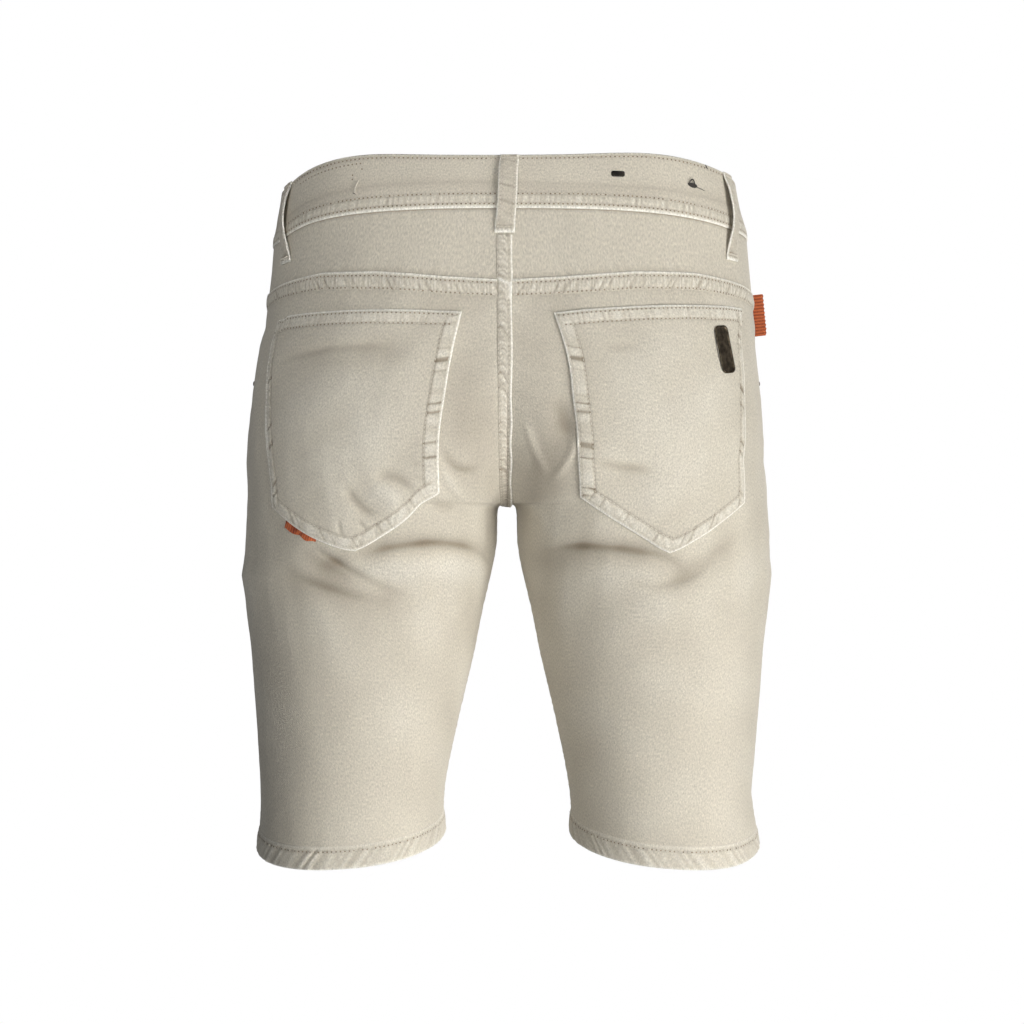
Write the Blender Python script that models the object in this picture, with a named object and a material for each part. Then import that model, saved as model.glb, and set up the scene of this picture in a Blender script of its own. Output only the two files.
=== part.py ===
"""Bermuda shorts in stretch denim, standing open as if worn, with nobody inside.

The cloth is laid on two runs of one half of the garment, the back run and the front run, which
both end at the side seam. A place on the cloth is named by
  face  0 on the back run, 1 on the front run,
  side  +1 on the wearer's left half, -1 on the right half,
  a     distance along the cloth from the side seam, level with the floor,
  z     height of the level, taken at the side seam.
Sizes are in millimetres up to the last step, which makes them metres. The origin is in the middle
of the waist opening, level with the top of the waistband at the sides. The fly faces -Y.
"""

import bmesh
import bpy
import numpy as np
from mathutils import Matrix, Vector

MM = 0.001

# ---- driving dimensions, in millimetres ----
SEAM_GAP = 0.3              # between two pieces at a seam
CLOTH = 1.3                 # wall of one panel
SKIN_GAP = 0.9              # under a piece that lies on a panel
SKIN = 1.2                  # wall of such a piece
BAND_OUT, BAND_IN = 1.0, -1.9   # waistband's outer and inner side, from the panels' outer side
HEM_OUT, HEM_IN = 0.8, -1.8
BAND_TOP, BAND_LOW = 0.0, -43.0
HEM_TOP, HEM_LOW = -476.0, -493.0
CROTCH_Z = -234.6
ARCH_HEIGHT = 5.5           # height of the rounded top of the gap between the legs
BAND_LAP = 16.0             # each end of the waistband passes the middle of the front by this
BAND_STEP = -3.4            # how far the lower end of the waistband sits inside the upper one
MOUTH_REACH = 62.0          # front pocket mouth: distance from the side seam at the waistband
MOUTH_LOW = -135.0          # and the level where it meets the side seam
MOUTH_GAPE = 1.8            # its edge stands off by this
LOOP_WIDTH, LOOP_WALL = 14.0, 1.8
FLY_REACH, FLY_LAP, FLY_LOW = 32.0, 8.0, -166.0
FELL_WIDTH = 9.5            # flat felled seams
FELL_END = 1.6              # the yoke's felled seams stop this far from the side seam
BADGE_WIDTH, BADGE_HEIGHT, BADGE_WALL = 14.0, 35.0, 1.2
BUTTON_RADIUS, RIVET_RADIUS = 8.5, 4.4

# One row for each level: the reach of one half from the middle plane at the side and at the inseam,
# its depth at the back, front and side, how far from the middle its back and front are fullest,
# and the power of the rounded outline (2 is an ellipse, more is squarer).
LEVEL_COLUMNS = ("z", "outer", "inner", "back", "front", "side", "back_lobe", "front_lobe", "power")
LEVELS = (
    (20.0, 167.5, 0.0, 103.0, -96.0, -4.0, 0.0, 0.0, 2.8),
    (0.0, 169.5, 0.0, 105.0, -98.0, -4.0, 0.0, 0.0, 2.8),
    (-43.0, 177.5, 0.0, 109.5, -103.0, -4.0, 8.0, 8.0, 2.5),
    (-58.0, 179.5, 0.0, 111.5, -105.0, -4.0, 18.0, 18.0, 2.4),
    (-75.0, 181.5, 0.0, 114.0, -106.0, -4.0, 30.0, 28.0, 2.35),
    (-110.0, 185.5, 0.0, 118.5, -107.5, -4.0, 50.0, 42.0, 2.3),
    (-150.0, 190.5, 0.0, 121.5, -108.0, -4.0, 62.0, 56.0, 2.3),
    (-180.0, 193.5, 0.0, 121.0, -107.5, -4.0, 69.0, 66.0, 2.3),
    (-205.0, 195.0, 0.0, 117.0, -106.5, -4.0, 75.0, 75.0, 2.3),
    (-235.0, 196.0, 6.7, 109.0, -105.5, -4.0, 86.0, 88.0, 2.3),
    (-265.0, 198.0, 8.2, 100.0, -104.5, -5.0, 97.0, 98.0, 2.25),
    (-285.0, 199.5, 12.0, 94.0, -103.5, -6.0, 105.0, 105.0, 2.2),
    (-307.0, 198.3, 17.5, 88.5, -102.5, -8.0, 109.0, 109.0, 2.15),
    (-345.0, 194.5, 25.5, 79.5, -100.5, -11.0, 111.0, 111.0, 2.1),
    (-382.0, 191.0, 34.0, 71.5, -98.5, -14.0, 114.0, 114.0, 2.1),
    (-420.0, 187.8, 41.5, 64.0, -96.0, -17.0, 116.0, 116.0, 2.1),
    (-457.0, 185.6, 47.0, 57.5, -93.5, -19.0, 117.5, 117.5, 2.1),
    (-476.0, 186.8, 48.0, 55.0, -92.5, -20.0, 118.0, 118.0, 2.1),
    (-493.0, 188.6, 47.3, 53.5, -92.0, -21.0, 118.5, 118.5, 2.1),
    (-499.0, 188.8, 47.0, 53.3, -92.0, -21.3, 118.5, 118.5, 2.1),
)
# How much higher than its side a level is at the middle of the back, of the front and at the inseam.
TILT_COLUMNS = ("z", "back", "front", "inseam")
TILTS = (
    (20.0, 14.5, -18.0, 0.0),
    (0.0, 14.5, -18.0, 0.0),
    (-43.0, 19.0, -16.0, 0.0),
    (-78.0, 2.0, -10.0, 0.0),
    (-120.0, 0.0, -2.0, 0.0),
    (-235.0, 0.0, 0.0, 0.0),
    (-400.0, 0.0, 0.0, 0.0),
    (-476.0, -8.5, 11.0, 11.0),
    (-493.0, -8.5, 12.0, 12.0),
    (-499.0, -8.5, 12.0, 12.0),
)
# The rise: where the seat seam leaves the upright, and the power of its curve down to the crotch.
RISE = ((-60.0, 3.0), (-45.0, 2.6))
# The yoke seam: its level at each share of the way from the middle of the back to the side seam.
YOKE_COLUMNS = ("share", "z")
YOKE_SEAM = ((0.0, -77.5), (0.15, -76.0), (0.36, -73.0), (0.55, -72.5), (0.72, -75.5), (0.86, -79.0), (1.0, -81.0))
# The back pockets: places (a, z) of their corners on each half.
POCKET_COLUMNS = ("side", "in_top_a", "in_top_z", "out_top_a", "out_top_z", "in_low_a", "in_low_z",
                  "tip_a", "tip_z", "out_low_a", "out_low_z")
POCKETS = (
    (1, 222.5, -98.0, 68.0, -100.0, 218.5, -226.5, 152.5, -270.5, 86.0, -237.0),
    (-1, 222.0, -98.5, 65.5, -93.0, 214.5, -230.0, 144.0, -272.0, 84.0, -234.0),
)
# Belt loops: half, face, the distance of their middle line from the side seam at the top and the
# foot, and their lowest level; the loop at the middle of the back is measured from the middle
# instead, to the left.
LOOP_COLUMNS = ("name", "side", "face", "top", "foot", "low")
LOOPS = (
    ("belt_loop_back", 0, 0, -1.6, 1.6, -55.5),
    ("belt_loop_back_left", 1, 0, 52.0, 64.0, -62.5),
    ("belt_loop_back_right", -1, 0, 52.0, 64.0, -62.5),
    ("belt_loop_front_left", 1, 1, 104.0, 104.0, -62.5),
    ("belt_loop_front_right", -1, 1, 104.0, 104.0, -62.5),
)
# The outline of a loop, seen from its edge: level and lift of its inner side off the panels. Under
# LOOP_BEND it is shortened to end at the loop's own lowest level.
LOOP_BEND = -36.0
LOOP_PATH = ((-0.8, 1.4), (-2.5, 3.6), (-7.0, 6.2), (-15.0, 7.4), (-26.0, 7.6), (LOOP_BEND, 6.8),
             (-45.0, 4.8), (-52.0, 2.6), (-57.5, 1.2), (-62.5, 0.6))
# The largest folds: half, face, both ends (a, z), sag of the middle, half width and height.
FOLD_COLUMNS = ("side", "face", "a0", "z0", "a1", "z1", "sag", "width", "height")
FOLDS = (
    (1, 0, 128.0, -279.0, 286.0, -272.0, 11.0, 7.0, -2.6),
    (1, 0, 140.0, -292.0, 280.0, -288.0, 10.0, 11.0, 2.2),
    (1, 0, 96.0, -262.0, 182.0, -298.0, -4.0, 8.0, -1.8),
    (1, 0, 84.0, -283.0, 190.0, -309.0, -5.0, 12.0, -1.8),
    (1, 0, 86.0, -133.0, 212.0, -131.0, 5.0, 12.0, -1.2),
    (-1, 0, 136.0, -277.0, 238.0, -266.0, 4.0, 7.0, -2.4),
    (-1, 0, 138.0, -290.0, 240.0, -284.0, 5.0, 11.0, 2.0),
    (-1, 0, 88.0, -256.0, 156.0, -297.0, -3.0, 9.0, -1.8),
    (1, 1, 60.0, -196.0, 236.0, -236.0, 8.0, 11.0, -2.0),
    (1, 1, 66.0, -222.0, 250.0, -262.0, 9.0, 12.0, 2.0),
    (1, 1, 90.0, -262.0, 236.0, -290.0, 6.0, 10.0, -1.8),
    (-1, 1, 64.0, -202.0, 232.0, -238.0, 7.0, 11.0, -2.0),
    (-1, 1, 70.0, -228.0, 252.0, -258.0, 8.0, 12.0, 1.9),
    (-1, 1, 96.0, -258.0, 230.0, -294.0, 6.0, 10.0, -1.8),
)

ECRU = (0.56, 0.51, 0.43)
ECRU_LIGHT = (0.62, 0.57, 0.49)
ECRU_SHADE = (0.50, 0.45, 0.38)
RUST = (0.53, 0.10, 0.03)
BRONZE = (0.07, 0.055, 0.04)


# ---- the cloth's surface ----

def smooth(columns, rows, z):
    """Values of a table's columns at heights z, on cubic curves through its rows."""
    table = np.array(sorted(rows))
    x, y = table[:, 0], table[:, 1:]
    slope = np.gradient(y, x, axis=0)
    z = np.clip(z, x[0], x[-1])
    i = np.clip(np.searchsorted(x, z) - 1, 0, len(x) - 2)
    step = x[i + 1] - x[i]
    t = ((z - x[i]) / step)[:, None]
    span = step[:, None]
    values = (
        (2 * t**3 - 3 * t**2 + 1) * y[i] + (t**3 - 2 * t**2 + t) * span * slope[i]
        + (3 * t**2 - 2 * t**3) * y[i + 1] + (t**3 - t**2) * span * slope[i + 1]
    )
    return dict(zip(columns[1:], values.T))


def rise_share(face, z):
    """Depth of the seat seam at height z, as a share of the depth of the fullest point."""
    top, power = RISE[face]
    t = np.clip((top - z) / (top - CROTCH_Z), 0, 1)
    return (1 - t**power) ** (1 / power)


def section(face, z):
    """Dense outline of one face at each height, from the middle or the inseam to the side seam.

    It is two quarters of a superellipse about the fullest point. Above the crotch the inner quarter
    is cut off at the middle plane, just where the seat seam runs; below, it ends at the inseam.
    """
    size = smooth(LEVEL_COLUMNS, LEVELS, z)
    lobe = size["front_lobe" if face else "back_lobe"]
    depth = size["front" if face else "back"]
    power = size["power"]
    below = np.clip((CROTCH_Z - z) / ARCH_HEIGHT, 0, 1)
    inner = np.where(z < CROTCH_Z, size["inner"] * (1 - (1 - below) ** 3) ** (1 / 3), 0.0)
    cut = np.maximum((1 - rise_share(face, z) ** power) ** (1 / power), 1e-6)
    cut = np.where(z > CROTCH_Z, cut, 1.0)
    start = np.arccos(np.clip(cut ** (power / 2), 0, 1))
    even = 0.5 - 0.5 * np.cos(np.pi * np.linspace(0, 1, 120))
    quarter = np.pi / 2
    angle_in = start[:, None] + (quarter - start[:, None]) * even
    angle_out = quarter + quarter * even * np.ones((len(z), 1))
    angle = np.concatenate([angle_in, angle_out[:, 1:]], axis=1)
    along = np.abs(np.cos(angle)) ** (2 / power[:, None])
    deep = np.abs(np.sin(angle)) ** (2 / power[:, None])
    above = lobe[:, None] * (1 - along / cut[:, None])
    under = lobe[:, None] - (lobe - inner)[:, None] * along
    s_in = np.where((z > CROTCH_Z)[:, None], above, under)
    s_out = lobe[:, None] + (size["outer"] - lobe)[:, None] * along
    s = np.where(angle < quarter, s_in, s_out)
    y = size["side"][:, None] + (depth - size["side"])[:, None] * deep
    tilt = smooth(TILT_COLUMNS, TILTS, z)
    own, other = (tilt["front"], tilt["back"]) if face else (tilt["back"], tilt["front"])
    sine = np.sin(angle)
    rise = (
        (own - other)[:, None] / 2 * sine + (own + other)[:, None] / 2 * sine**2
        + tilt["inseam"][:, None] * (1 + np.cos(angle) - sine) / 2
    )
    return np.stack([np.maximum(s, 0), y, z[:, None] + rise], axis=2)


def table_heights():
    """Heights of the surface table: every 2 mm, and closer round the crotch."""
    even = np.arange(-499.0, 20.1, 2.0)
    near = np.linspace(0, 1, 40) ** 3
    return np.unique(np.round(np.concatenate([even, CROTCH_Z + 24 * near, CROTCH_Z - ARCH_HEIGHT * near]), 5))


def surface_table(face, heights, columns=181):
    """Points at equal shares of each level's length, and the lengths."""
    run = section(face, heights)
    length = np.concatenate(
        [np.zeros((len(run), 1)), np.cumsum(np.linalg.norm(np.diff(run, axis=1), axis=2), axis=1)], axis=1
    )
    shares = np.linspace(0, 1, columns)
    points = np.empty((len(heights), columns, 3))
    for row, (line, at) in enumerate(zip(run, length)):
        for axis in range(3):
            points[row, :, axis] = np.interp(shares * at[-1], at, line[:, axis])
    return points, length[:, -1]


HEIGHTS = table_heights()
TABLES = tuple(surface_table(face, HEIGHTS) for face in (0, 1))


def width(face, z):
    """Length of one face's level z, from the middle or the inseam to the side seam."""
    return np.interp(z, HEIGHTS, TABLES[face][1])


def surface(face, a, z):
    """Points of the panels' smooth outer side, on the left half, read between the table's points."""
    points, lengths = TABLES[face]
    row = np.clip(np.searchsorted(HEIGHTS, z) - 1, 0, len(HEIGHTS) - 2)
    down = np.clip((z - HEIGHTS[row]) / (HEIGHTS[row + 1] - HEIGHTS[row]), 0, 1)
    full = lengths[row] * (1 - down) + lengths[row + 1] * down
    across = np.clip(1 - a / full, 0, 1) * (points.shape[1] - 1)
    column = np.minimum(across.astype(int), points.shape[1] - 2)
    across = (across - column)[..., None]
    down = down[..., None]
    upper = points[row + 1, column] * (1 - across) + points[row + 1, column + 1] * across
    lower = points[row, column] * (1 - across) + points[row, column + 1] * across
    return lower * (1 - down) + upper * down


def outward(face, a, z, step=0.5):
    """Unit normals of that surface, from points a short step away each way."""
    along = surface(face, np.minimum(a + step, width(face, z)), z) - surface(face, np.maximum(a - step, 0), z)
    down = surface(face, a, z - step) - surface(face, a, z + step)
    normal = np.cross(along, down)
    if face == 0:
        normal = -normal
    return normal / np.maximum(np.linalg.norm(normal, axis=-1, keepdims=True), 1e-9)


def fold_lift(face, side, a, z):
    """Sum of the folds at a place: each is a soft bell across its line, fading to both ends."""
    lift = np.zeros(np.broadcast(a, z).shape)
    for row in FOLDS:
        fold = dict(zip(FOLD_COLUMNS, row))
        if fold["face"] != face:
            continue
        run = np.array([fold["a1"] - fold["a0"], fold["z1"] - fold["z0"]])
        length = np.linalg.norm(run)
        run = run / length
        t = ((a - fold["a0"]) * run[0] + (z - fold["z0"]) * run[1]) / length
        off = (z - fold["z0"]) * run[0] - (a - fold["a0"]) * run[1] - 4 * fold["sag"] * t * (1 - t)
        fade = np.exp(-(np.abs(2 * t - 1) / 0.85) ** 4)
        lift = lift + np.where(side == fold["side"], fold["height"], 0) * fade * np.exp(-(off / fold["width"]) ** 2)
    return lift


def place(face, side, a, z, lift):
    """Points of the real cloth: the surface, its folds and a lift, on either half."""
    face, side, a, z, lift = np.broadcast_arrays(face, side, a, z, lift)
    points = np.zeros(a.shape + (3,))
    for one in (0, 1):
        on = face == one
        if on.any():
            base = surface(one, a[on], z[on])
            off = lift[on] + fold_lift(one, side[on], a[on], z[on])
            points[on] = base + outward(one, a[on], z[on]) * off[:, None]
    points[..., 0] *= side
    return points


def from_middle(face, c, z):
    """Half and distance from the side seam of a place c from the middle, positive to the left."""
    side = np.where(c >= 0, 1, -1)
    return side, width(face, z) - np.abs(c)


# ---- making a closed solid from two grids of points ----

def material(name, colour, roughness, metallic=0.0):
    """A plain finish of the piece's colour."""
    finish = bpy.data.materials.new(name)
    finish.use_nodes = True
    shader = finish.node_tree.nodes["Principled BSDF"]
    shader.inputs["Base Color"].default_value = (*colour, 1.0)
    shader.inputs["Roughness"].default_value = roughness
    shader.inputs["Metallic"].default_value = metallic
    return finish


def add_object(name, mesh, colour, roughness=0.9, metallic=0.0):
    """Face the mesh outwards, finish it and put it in the scene."""
    shape = bmesh.new()
    shape.from_mesh(mesh)
    bmesh.ops.recalc_face_normals(shape, faces=shape.faces)
    shape.to_mesh(mesh)
    shape.free()
    mesh.shade_smooth()
    mesh.set_sharp_from_angle(angle=0.7)
    mesh.materials.append(material(name, colour, roughness, metallic))
    piece = bpy.data.objects.new(name, mesh)
    bpy.context.scene.collection.objects.link(piece)
    return piece


def grid_faces(rows, columns, start, closed):
    """Triangles of a grid of points, all with the same diagonal."""
    i, j = np.meshgrid(np.arange(rows - 1), np.arange(columns if closed else columns - 1), indexing="ij")
    i, j = i.ravel(), j.ravel()
    k = (j + 1) % columns
    p, q = start + i * columns + j, start + i * columns + k
    r, s = start + (i + 1) * columns + k, start + (i + 1) * columns + j
    return np.concatenate([np.stack([p, q, r], axis=1), np.stack([p, r, s], axis=1)])


def border_faces(ring, shift):
    """Triangles that join a border of the outer grid to the same border of the inner one."""
    here, after = ring[:-1], ring[1:]
    return np.concatenate(
        [np.stack([here, here + shift, after + shift], axis=1), np.stack([here, after + shift, after], axis=1)]
    )


def wall(name, outer, inner, colour, closed=False, **finish):
    """A closed wall between an outer and an inner grid; closed joins the last column to the first."""
    rows, columns = outer.shape[:2]
    count = rows * columns
    index = np.arange(count).reshape(rows, columns)
    faces = [grid_faces(rows, columns, 0, closed), grid_faces(rows, columns, count, closed)[:, ::-1]]
    if closed:
        rings = [np.append(index[0], index[0, 0])[::-1], np.append(index[-1], index[-1, 0])]
    else:
        rings = [np.concatenate([index[0, ::-1], index[1:, 0], index[-1, 1:], index[-2::-1, -1]])]
    faces += [border_faces(ring, count) for ring in rings]
    points = np.concatenate([outer.reshape(-1, 3), inner.reshape(-1, 3)]) * MM
    mesh = bpy.data.meshes.new(name)
    mesh.from_pydata(points.tolist(), [], np.concatenate(faces).tolist())
    return add_object(name, mesh, colour, **finish)


def clear_of_middle(points, side):
    """Keep a half's piece off the middle plane by half a seam gap."""
    points[..., 0] = side * np.maximum(side * points[..., 0], SEAM_GAP / 2)
    return points


def cloth_wall(name, face, side, a, z, outer, inner, colour, half=True, **finish):
    """A wall of cloth over the places (a, z), between an outer and an inner lift."""
    walls = [place(face, side, a, z, lift) for lift in (outer, inner)]
    if half:
        walls = [clear_of_middle(points, side) for points in walls]
    return wall(name, walls[0], walls[1], colour, **finish)


# ---- the main panels ----

def yoke_seam(share):
    """Level of the yoke seam at a share of the way from the middle to the side."""
    at, z = np.array(YOKE_SEAM).T
    return np.interp(share, at, z)


def mouth(a):
    """Level of the front pocket's mouth at a distance a from the side seam."""
    t = np.clip(a / MOUTH_REACH, 0, 1)
    return BAND_LOW + (MOUTH_LOW - BAND_LOW) * (1 - t**1.5) ** (1 / 1.25)


def rise_levels(face, top, count):
    """Heights at even steps along the seat seam, from its top to the crotch."""
    z = CROTCH_Z + (top - CROTCH_Z) * np.linspace(1, 0, 800) ** 3
    line = surface(face, width(face, z), z)
    length = np.append(0, np.cumsum(np.linalg.norm(np.diff(line, axis=0), axis=1)))
    return np.interp(np.linspace(0, length[-1], count), length, z)


CROTCH_DROP = 27.0          # the panels' row through the crotch falls this much to the side seam
RISE_ROWS = 15
LEG_LEVELS = np.concatenate([CROTCH_Z - np.array([0.0, 0.35, 2.0, 5.5, 14.0]), np.linspace(-264.0, HEM_TOP, 14)])
SHARES = np.linspace(0, 1, 16)


def panel_levels(face, top, shares):
    """Levels of a panel's grid: rows fan out from the seat seam and the inseam to the side seam."""
    fan = 1 - (1 - shares) ** 1.5
    crotch_row = CROTCH_Z - CROTCH_DROP * fan
    edge = rise_levels(face, top[0], RISE_ROWS)
    edge = (edge[0] - edge) / (edge[0] - edge[-1])
    even = np.linspace(0, 1, RISE_ROWS)
    down = edge[:, None] * (1 - fan) + even[:, None] * fan
    upper = top + (crotch_row - top) * down
    edge = (LEG_LEVELS[0] - LEG_LEVELS) / (LEG_LEVELS[0] - LEG_LEVELS[-1])
    even = np.linspace(0, 1, len(LEG_LEVELS))
    down = edge[:, None] * (1 - fan) + even[:, None] * fan
    lower = crotch_row + (HEM_TOP - crotch_row) * down
    return np.concatenate([upper, lower[1:]])


def distances(face, z, shares):
    """Distances from the side seam at shares of the way, half a gap inside both seams."""
    return SEAM_GAP / 2 + (width(face, z) - SEAM_GAP) * (1 - shares)


def back_panel(name, side):
    """Back panel: from the yoke seam to the hem, and from the seat seam and inseam to the side seam."""
    z = panel_levels(0, yoke_seam(SHARES) - SEAM_GAP, SHARES)
    cloth_wall(name, 0, side, distances(0, z, SHARES), z, 0.0, -CLOTH, ECRU)


def front_panel(name, side):
    """Front panel: like the back one, up to the waistband, with the pocket mouth cut from its corner."""
    bend = 1 - MOUTH_REACH / width(1, BAND_LOW)
    shares = np.concatenate([np.linspace(0, bend, 10), np.linspace(bend, 1, 8)[1:]])
    top = mouth((1 - shares) * width(1, BAND_LOW)) - SEAM_GAP
    z = panel_levels(1, top, shares)
    reach = np.clip((1 - shares) / (1 - bend), 0, 1)
    gape = MOUTH_GAPE * np.sin(np.pi * reach) ** 2 * np.exp(-((top - z) / 16) ** 2)
    cloth_wall(name, 1, side, distances(1, z, shares), z, gape, gape - CLOTH, ECRU)


def yoke(name, side):
    """Yoke: the panel between the waistband and the yoke seam."""
    shares = np.linspace(0, 1, 15)
    down = np.linspace(0, 1, 4)[:, None]
    z = (BAND_LOW - SEAM_GAP) * (1 - down) + yoke_seam(shares) * down
    cloth_wall(name, 0, side, distances(0, z, shares), z, 0.0, -CLOTH, ECRU)


def pocket_facing(name, side):
    """Facing: the patch that closes the front pocket's mouth from behind."""
    reach = MOUTH_REACH + 14
    a = np.linspace(reach, SEAM_GAP / 2, 8)
    low = BAND_LOW - 16 + (MOUTH_LOW - BAND_LOW) * (1 - (a / reach) ** 1.5) ** (1 / 1.25)
    down = np.linspace(0, 1, 7)[:, None]
    z = (BAND_LOW - SEAM_GAP) * (1 - down) + low * down
    lift = -CLOTH - 0.5
    cloth_wall(name, 1, side, a * np.ones_like(z), z, lift, lift - 1.1, ECRU_SHADE)


# ---- rings: waistband and hems ----

def waistband():
    """Waistband: one strip round the waist, its left end lapped over its right end at the front."""
    z = np.array([BAND_TOP, BAND_LOW / 2, BAND_LOW])[:, None]
    lap = np.linspace(-BAND_LAP, 40, 8)
    front = np.linspace(40, width(1, 0.0), 12)[1:]
    back = np.linspace(0, width(0, 0.0), 15)[1:]
    faces, sides, shares, steps = [], [], [], []

    def add(face, side, share, step):
        faces.append(np.full(len(share), face))
        sides.append(np.full(len(share), side))
        shares.append(share)
        steps.append(step)

    full = width(1, 0.0)
    add(1, np.where(lap < 0, -1, 1)[0], np.abs(lap[lap < 0]) / full, np.zeros((lap < 0).sum()))
    add(1, 1, lap[lap >= 0] / full, np.zeros((lap >= 0).sum()))
    add(1, 1, front / full, np.zeros(len(front)))
    add(0, 1, 1 - back / width(0, 0.0), np.zeros(len(back)))
    add(0, -1, back / width(0, 0.0), np.zeros(len(back)))
    add(1, -1, front[-2::-1] / full, np.zeros(len(front) - 1))
    under = -lap[::-1]
    inward = np.clip((under + 40) / 22, 0, 1)
    inward = BAND_STEP * inward**2 * (3 - 2 * inward)
    add(1, -1, -under[under <= 0] / full, inward[under <= 0])
    add(1, 1, under[under > 0] / full, inward[under > 0])
    face, side, share, step = (np.concatenate(values) for values in (faces, sides, shares, steps))
    whole = np.where(face == 1, width(1, z), width(0, z))
    a = whole * (1 - share)
    cloth_wall("waistband", face, side, a, z, BAND_OUT + step, BAND_IN + step, ECRU_LIGHT, half=False)


def hem(name, side):
    """Hem: the turned-up end of a leg, all round."""
    z = np.linspace(HEM_TOP - SEAM_GAP, HEM_LOW, 3)[:, None]
    shares = np.linspace(0, 1, 17)
    back = width(0, z) * (1 - shares)
    front = width(1, z) * shares[1:-1]
    a = np.concatenate([back, front], axis=1)
    face = np.concatenate([np.zeros(17, int), np.ones(15, int)])
    cloth_wall(name, face, side, a, z, HEM_OUT, HEM_IN, ECRU_LIGHT, closed=True)


# ---- what lies on the panels ----

def back_pocket(name, row):
    """Patch pocket: straight sides that draw in downwards, and a low point at the bottom."""
    at = dict(zip(POCKET_COLUMNS, row))
    across = np.linspace(0, 1, 11)
    middle = (at["in_low_a"] - at["tip_a"]) / (at["in_low_a"] - at["out_low_a"])
    across[np.argmin(np.abs(across - middle))] = middle
    down = np.linspace(0, 1, 10)[:, None]
    top_z = at["in_top_z"] * (1 - across) + at["out_top_z"] * across + 4 * 1.6 * across * (1 - across)
    low_z = np.interp(across, [0, middle, 1], [at["in_low_z"], at["tip_z"], at["out_low_z"]])
    inner = at["in_top_a"] * (1 - down) + at["in_low_a"] * down + 4 * 2.0 * down * (1 - down)
    outer = at["out_top_a"] * (1 - down) + at["out_low_a"] * down - 4 * 2.2 * down * (1 - down)
    a = inner * (1 - across) + outer * across
    z = top_z * (1 - down) + low_z * down
    cloth_wall(name, 0, at["side"], a, z, SKIN_GAP + SKIN, SKIN_GAP, ECRU_LIGHT)


def yoke_fell(name, side, start):
    """Felled seam: the turned edge under the yoke seam, from near the middle to the side seam."""
    z_seam = yoke_seam(np.linspace(0, 1, 17))
    down = np.array([-0.2, -FELL_WIDTH / 2, -FELL_WIDTH])[:, None]
    z = z_seam + down
    a = (width(0, z) - start - FELL_END) * (1 - np.linspace(0, 1, 17)) + FELL_END
    cloth_wall(name, 0, side, a, z, 1.3, 0.5, ECRU_LIGHT)


def rise_lines(face, top, reach=9):
    """Places along the seat seam and beside it, on lines that keep their distance from the middle."""
    offsets = np.arange(reach, dtype=float)
    shares = np.linspace(0, 1, 80)
    table = np.empty((len(offsets), len(shares), 2))
    points, lengths = TABLES[face]
    fine = np.linspace(0, 1, points.shape[1])
    for k, offset in enumerate(offsets):
        rows = [r for r in range(len(HEIGHTS)) if points[r, 0, 0] <= offset and HEIGHTS[r] <= top]
        if k == 0:
            rows = [r for r in rows if HEIGHTS[r] >= CROTCH_Z]
        rows = rows[::-1]
        at = np.array([np.interp(offset, points[r, :80, 0], fine[:80]) for r in rows])
        z = HEIGHTS[rows]
        a = lengths[rows] * (1 - at)
        line = surface(face, a, z)
        run = np.append(0, np.cumsum(np.linalg.norm(np.diff(line, axis=0), axis=1)))
        table[k, :, 0] = np.interp(shares * run[-1], run, a)
        table[k, :, 1] = np.interp(shares * run[-1], run, z)
    return offsets, shares, table


def rise_strip(name, face, top, left, right, rows):
    """Felled seam along the rise: left and right give its edges at the top and at the crotch."""
    offsets, shares, table = rise_lines(face, top)
    share = np.linspace(0, 0.996, rows)
    across = np.array([0.0, 1 / 3, 2 / 3, 1.0])
    first = right[0] + (right[1] - right[0]) * share
    last = left[0] + (left[1] - left[0]) * share
    x = first[:, None] * (1 - across) + last[:, None] * across
    x[:, 1] = 0.0
    side = np.where(x >= 0, 1, -1)
    k = np.minimum(np.abs(x).astype(int), len(offsets) - 2)
    f = np.abs(x) - k
    at = np.interp(share, shares, np.arange(len(shares)))
    m = np.minimum(at.astype(int), len(shares) - 2)
    g = (at - m)[:, None]
    m = m[:, None]
    spot = (
        table[k, m] * ((1 - f) * (1 - g))[..., None] + table[k + 1, m] * (f * (1 - g))[..., None]
        + table[k, m + 1] * ((1 - f) * g)[..., None] + table[k + 1, m + 1] * (f * g)[..., None]
    )
    lift = (0.7 + 1.0 * np.clip((share - 0.78) / 0.12, 0, 1))[:, None]
    cloth_wall(name, face, side, spot[..., 0], spot[..., 1], lift + 0.8, lift, ECRU_LIGHT, half=False)


def fly():
    """Fly: the lap over the zip, its free edge past the middle and its stitched edge curved below."""
    down = np.linspace(0, 1, 11)[:, None]
    across = np.linspace(0, 1, 6)
    z = (BAND_LOW - 2 * SEAM_GAP) * (1 - down) + FLY_LOW * down
    curve = np.sqrt(np.clip(1 - np.clip((down - 0.72) / 0.29, 0, 1) ** 2, 0, 1))
    c = -FLY_LAP * (1 - 0.6 * down**2) * (1 - across) + FLY_REACH * curve * across
    side, a = from_middle(1, c, z)
    cloth_wall("fly", 1, side, a, z, SKIN_GAP + SKIN, SKIN_GAP, ECRU_LIGHT, half=False)


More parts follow.
